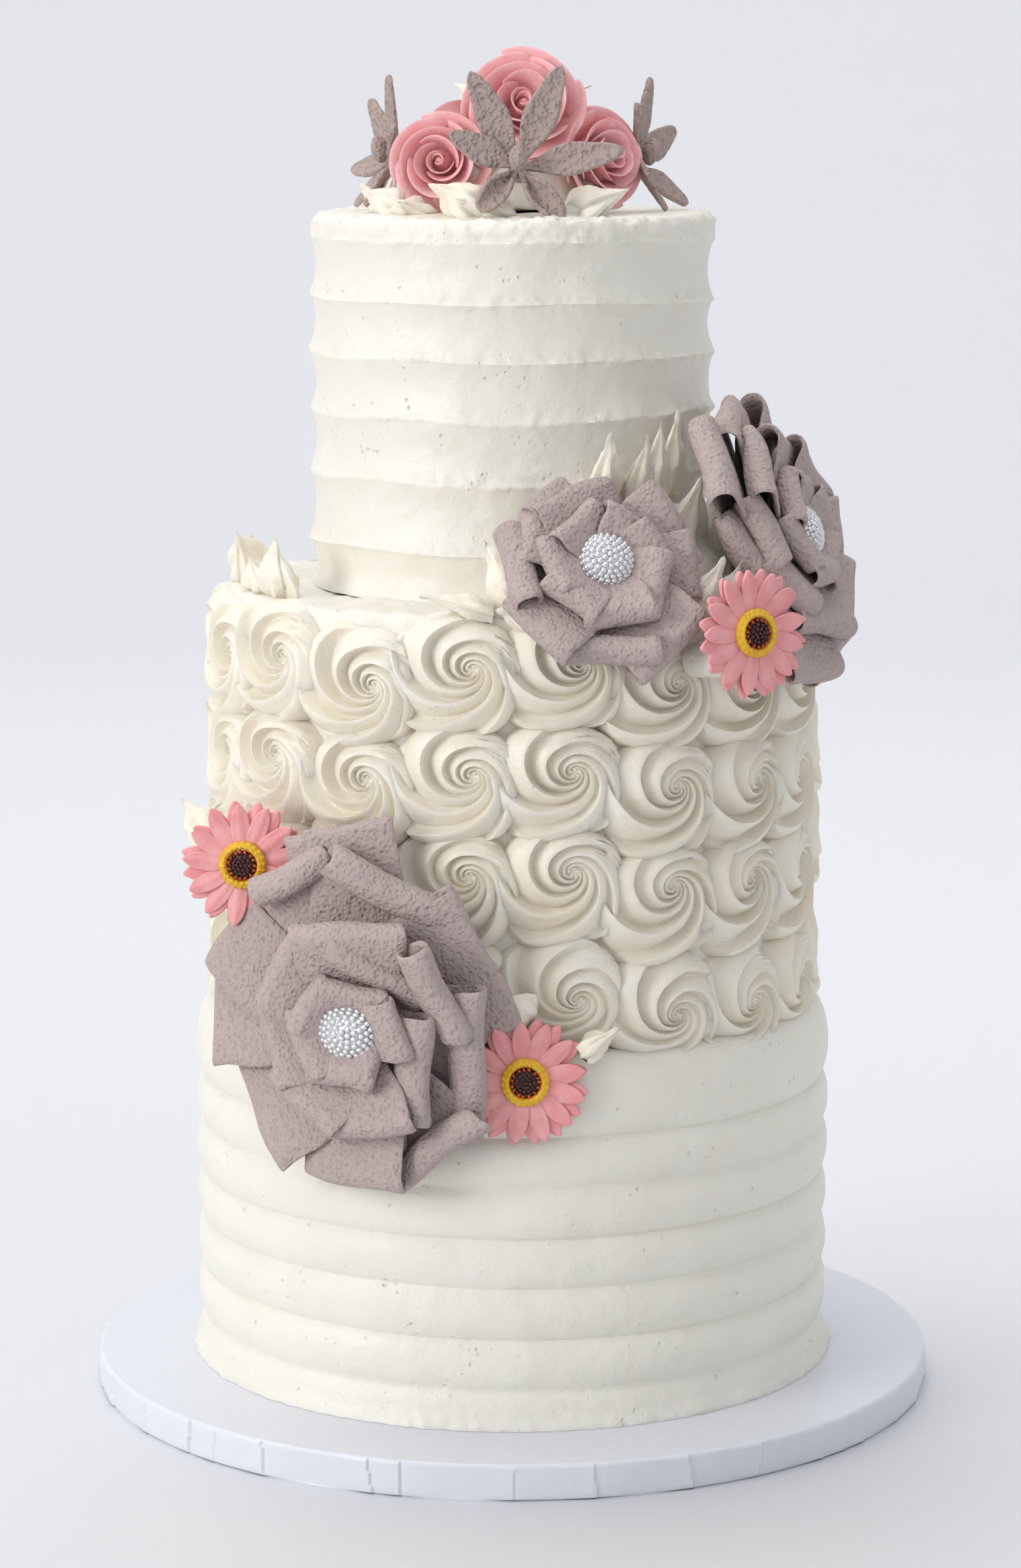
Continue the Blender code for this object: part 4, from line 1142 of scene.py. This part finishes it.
def pointed_flower(name, node, place, facing, tilt, petals, seed):
    """Petals lists (direction, length, rise, width, curl)."""
    dice = random.Random(seed)
    put = facing_from(place, facing, tilt)
    spears = []
    for direction, length, rise, width, curl in petals:
        points = spear_points(length, width, curl, dice)
        points = lay_strip(points, direction, 0.0, rise, dice.uniform(-10, 10), 0.0)
        spears.append(shaped_grid(SPEAR_GRID, put(points)))
    flower = join(spears, name)
    thicken(flower, 1.9)
    stem = spun([(0.0, -26.0), (2.2, -26.0), (3.4, -3.0), (3.4, 0.5), (2.0, 1.6), (0.0, 2.0)], 20)
    carry(stem, put)
    flower = join([flower, stem], name)
    roughen(flower, 0.0026, 0.35 * MM)
    face_outwards(flower, merge=True)
    settle(flower, name + "_petals", [node + "_petals"], TAUPE_ROUGH, 60.0)
    bud = spun([(0.0, 1.0), (1.4, 1.4), (2.7, 3.4), (3.2, 5.8), (2.9, 8.0), (1.7, 10.2), (0.0, 11.0)], 26)
    table = points_of(bud)
    angle, reach = np.arctan2(table[:, 1], table[:, 0]), np.hypot(table[:, 0], table[:, 1])
    reach = reach * (1.0 + 0.06 * np.cos(3.0 * angle + 0.35 * table[:, 2]))
    egg = np.stack([reach * np.cos(angle), reach * np.sin(angle), table[:, 2]], axis=1)
    nod = Matrix.Rotation(math.radians(-62.0), 3, "X")
    set_points(bud, put(egg @ np.array(nod).T + np.array((0.0, -2.6, 4.6))) * MM)
    roughen(bud, 0.0026, 0.25 * MM)
    settle(bud, name + "_bud", [node + "_bud"], TAUPE_ROUGH, 60.0)


OPEN_SPEARS = [(117, 37, 6, 12, 0), (67, 38, 6, 12.5, 0), (154, 27, 10, 11, 0), (9, 37, 5, 12, 0)]
OPEN_SPEARS += [(228, 21, 16, 15, 1.5), (311, 24, 16, 15, 1.5)]
FAN_SPEARS = [(20, 30, 22, 11, 0), (75, 32, 22, 11, 0), (130, 28, 22, 10, 0), (195, 26, 22, 10, 0.4)]
FAN_SPEARS += [(250, 22, 22, 10, 0.6), (315, 28, 22, 10.5, 0)]
pointed_flower("pointed_front", "star_front", (2.0, -50.0, 441.0), 0.0, 8.0, OPEN_SPEARS, 401)
pointed_flower("pointed_right", "star_right", (43.0, 6.0, 441.0), 75.0, 16.0, FAN_SPEARS, 402)
pointed_flower("pointed_left", "star_left", (-41.0, 4.0, 442.0), -75.0, 16.0, FAN_SPEARS, 403)

# %% [markdown]
# ## Icing that holds the flowers
# Soft icing holds the flowers on the cake: a mound under the bouquet, a bank behind the two upper
# flowers, a dollop behind two of the daisies, and pulled peaks that look like leaves. A peak comes from a
# leaf nozzle, and its ridges run together to a point where the icing tore off. It could be a bent cone, but
# a tube drawn out ring by ring can carry the ridges.


# %% Pull a peak
PEAK_AROUND, PEAK_RINGS = 30, 18


def peak_points(foot, tip, width, seed):
    """Points of a ridged peak of icing from foot to tip, in metres, ring by ring."""
    dice = random.Random(seed)
    along = tip - foot
    lies_down = abs(along.z) < 0.6 * along.length
    out = Vector((0.0, 0.0, 1.0)) if lies_down else Vector((foot.x, foot.y, 0.0)).normalized()
    across = along.cross(out).normalized()
    thick = across.cross(along).normalized()
    rows = []
    for ring in range(PEAK_RINGS + 1):
        share = ring / PEAK_RINGS
        half = width * (0.50 + 0.24 * math.sin(math.pi * min(1.0, share * 1.4))) * (1.0 - share**1.6) ** 0.9
        bend = 0.10 * along.length * math.sin(2.4 * share + dice.uniform(-0.1, 0.1))
        centre = foot + share * along + thick * bend * 0.5
        for step in range(PEAK_AROUND):
            angle = 2 * math.pi * step / PEAK_AROUND
            ridge = 0.86 + 0.42 * abs(math.cos(3.0 * angle + 0.6 + share)) ** 1.6 * (1.0 - 0.4 * share)
            pull = ridge * half * (1.0 + 0.05 * math.sin(7.0 * share + 3.0 * angle + dice.uniform(-0.3, 0.3)))
            rows.append(centre + pull * (math.cos(angle) * across + 0.58 * math.sin(angle) * thick))
    return np.array(rows)


def peak(foot, tip, width, seed):
    """One pulled peak as a mesh, closed at foot and tip."""
    piece = tube(PEAK_AROUND, PEAK_RINGS)
    face_outwards(piece)
    table = points_of(piece)
    rings = np.rint(table[:, 2] / MM).astype(int)
    turns = np.mod(np.arctan2(table[:, 1], table[:, 0]) / (2 * math.pi), 1.0)
    steps = np.rint(turns * PEAK_AROUND).astype(int) % PEAK_AROUND
    set_points(piece, peak_points(foot, tip, width, seed)[rings * PEAK_AROUND + steps])
    face_outwards(piece)
    return piece


def on_side(azimuth, radius, height):
    """A point at an azimuth, a distance from the axis and a height in millimetres."""
    turn = math.radians(azimuth)
    return Vector((radius * math.sin(turn), -radius * math.cos(turn), height)) * MM


# %% Pull all the peaks
PEAKS = {
    "icing_leaf_01": [((-62, 44, 424.5), (-66, 59, 433), 15), ((-50, 44, 424), (-44, 57, 429), 12)],
    "icing_leaf_02": [((-75, 46, 424), (-79, 42, 438), 12), ((-90, 44, 424), (-92, 54, 436), 12)],
    "icing_leaf_03": [((-16, 43, 424.0), (-33, 54, 435.0), 19), ((-4, 45, 424), (-20, 57, 430), 14)],
    "icing_leaf_04": [((26, 47, 424.0), (44, 58, 433.0), 18), ((22, 48, 423), (34, 60, 427), 13)],
    "icing_leaf_05": [((-130, 6, 459.5), (-131, 29, 468.5), 12)],
    "icing_leaf_06": [((116, 9, 458.6), (118, 32, 468.0), 12)],
    "icing_leaf_07": [((24, 75.5, 328), (25, 79, 354), 9)],
    "icing_leaf_08": [
        ((34, 76, 328), (35, 80, 352), 8),
        ((39, 76, 328), (39, 80, 356), 9),
        ((44, 76, 330), (44.5, 80, 360), 9),
        ((40, 88, 314), (40, 99, 338), 14),
        ((34, 111, 294), (37, 118, 313), 9),
        ((38.5, 111, 294), (41, 118, 311), 8),
    ],
    "icing_leaf_09": [((3, 97, 295.0), (-6, 92, 318), 15), ((10, 92, 298), (5, 84, 322), 14)],
    "icing_leaf_10": [((-4, 100, 294.0), (-17, 107, 299), 10), ((3, 106, 292), (-3, 111, 296), 12)],
    "icing_leaf_11": [((-62, 92, 294.0), (-58, 96, 314), 15), ((-72, 92, 294.0), (-70, 98, 306), 14)],
    "icing_leaf_12": [((-92, 94, 295.0), (-84, 98, 312), 15), ((-104, 94, 294.0), (-102, 97, 308), 14)],
    "icing_leaf_13": [((12, 118.0, 146.0), (17, 125, 155), 11), ((2, 111, 156), (-3, 118, 166), 12)],
    "icing_leaf_14": [((-68, 112, 205), (-78, 121, 217), 13), ((-62, 113, 196), (-70, 121, 200), 12)],
}


def pull_peaks():
    """Every peak, most of them in pairs."""
    for number, (node, group) in enumerate(PEAKS.items()):
        made = []
        for index, (foot, tip, width) in enumerate(group):
            made.append(peak(on_side(*foot), on_side(*tip), width * MM, 500 + 10 * number + index))
        leaf = join(made, "peak")
        roughen(leaf, 0.0060, 2.2 * MM)
        roughen(leaf, 0.0022, 0.8 * MM)
        settle(leaf, f"pulled_peak_{number + 1:02d}", [node], PIPED, 40.0)


pull_peaks()


# %% Heap the mound, the bank and the dollops
BANK_RINGS = 60


def mound():
    """The dome of icing under the bouquet."""
    foot = TOP / MM + 0.1
    line = [(0.0, 0), (31.0, 0), (31.0, 3), (29.6, 8), (25.0, 19)]
    line += [(18.6, 27), (12.0, 32), (6.0, 35), (0.0, 36)]
    heap = spun([(radius * MM, (foot + level) * MM) for radius, level in line], 60)
    apply(heap, "SUBSURF", levels=2, render_levels=2)
    roughen(heap, 0.012, 3.0 * MM)
    roughen(heap, 0.004, 0.8 * MM)
    settle(heap, "icing_mound", ["bouquet_mound"], ICING)


def bank():
    """The bank of icing behind the two upper flowers."""
    piece = tube(26, BANK_RINGS)
    table = points_of(piece)
    share = table[:, 2] / (BANK_RINGS * MM)
    turn = np.arctan2(table[:, 1], table[:, 0])
    size = 0.35 + 0.65 * np.sin(math.pi * share) ** 0.6
    out = np.clip(13.5 + 15.5 * np.cos(turn), 0.2, None) * (1.0 - 0.45 * np.clip(np.sin(turn), 0, None))
    up = np.clip(14.0 + 21.0 * np.sin(turn), 0.0, None)
    azimuth = np.radians(1.0 + 92.0 * share)
    level = LEDGE / MM - 0.5 + size * up
    set_points(piece, from_round(azimuth, TOP_RADIUS + (1.0 + size * out) * MM, level * MM))
    face_outwards(piece, merge=True)
    roughen(piece, 0.016, 7.0 * MM)
    roughen(piece, 0.006, 2.6 * MM)
    settle(piece, "icing_bank_behind_flowers", ["icing_bank"], ICING)


def dollop(name, node, azimuth, radius, height, facing, offset, length, width):
    """A plug of icing behind a daisy."""
    put = facing_frame(azimuth, radius, height, facing, 4.0)
    line = [(0.0, 0.4), (0.8 * width, 0.2), (width, -0.3 * length), (width, -0.7 * length)]
    plug = spun(line + [(0.8 * width, -length), (0.0, -length)], 36)
    apply(plug, "SUBSURF", levels=1, render_levels=1)
    set_points(plug, put(points_of(plug) + np.array(offset)) * MM)
    roughen(plug, 0.007, 2.4 * MM)
    settle(plug, name, [node], ICING)


mound()
bank()
dollop("dollop_upper", "icing_dollop_upper", 37.4, 131.0, 288.0, 33.0, (-9.0, -9.0, 0.0), 22.0, 6.5)
dollop("dollop_left", "icing_dollop_left", -46.2, 127.0, 206.0, -10.0, (0.0, -1.0, 0.0), 28.0, 7.5)
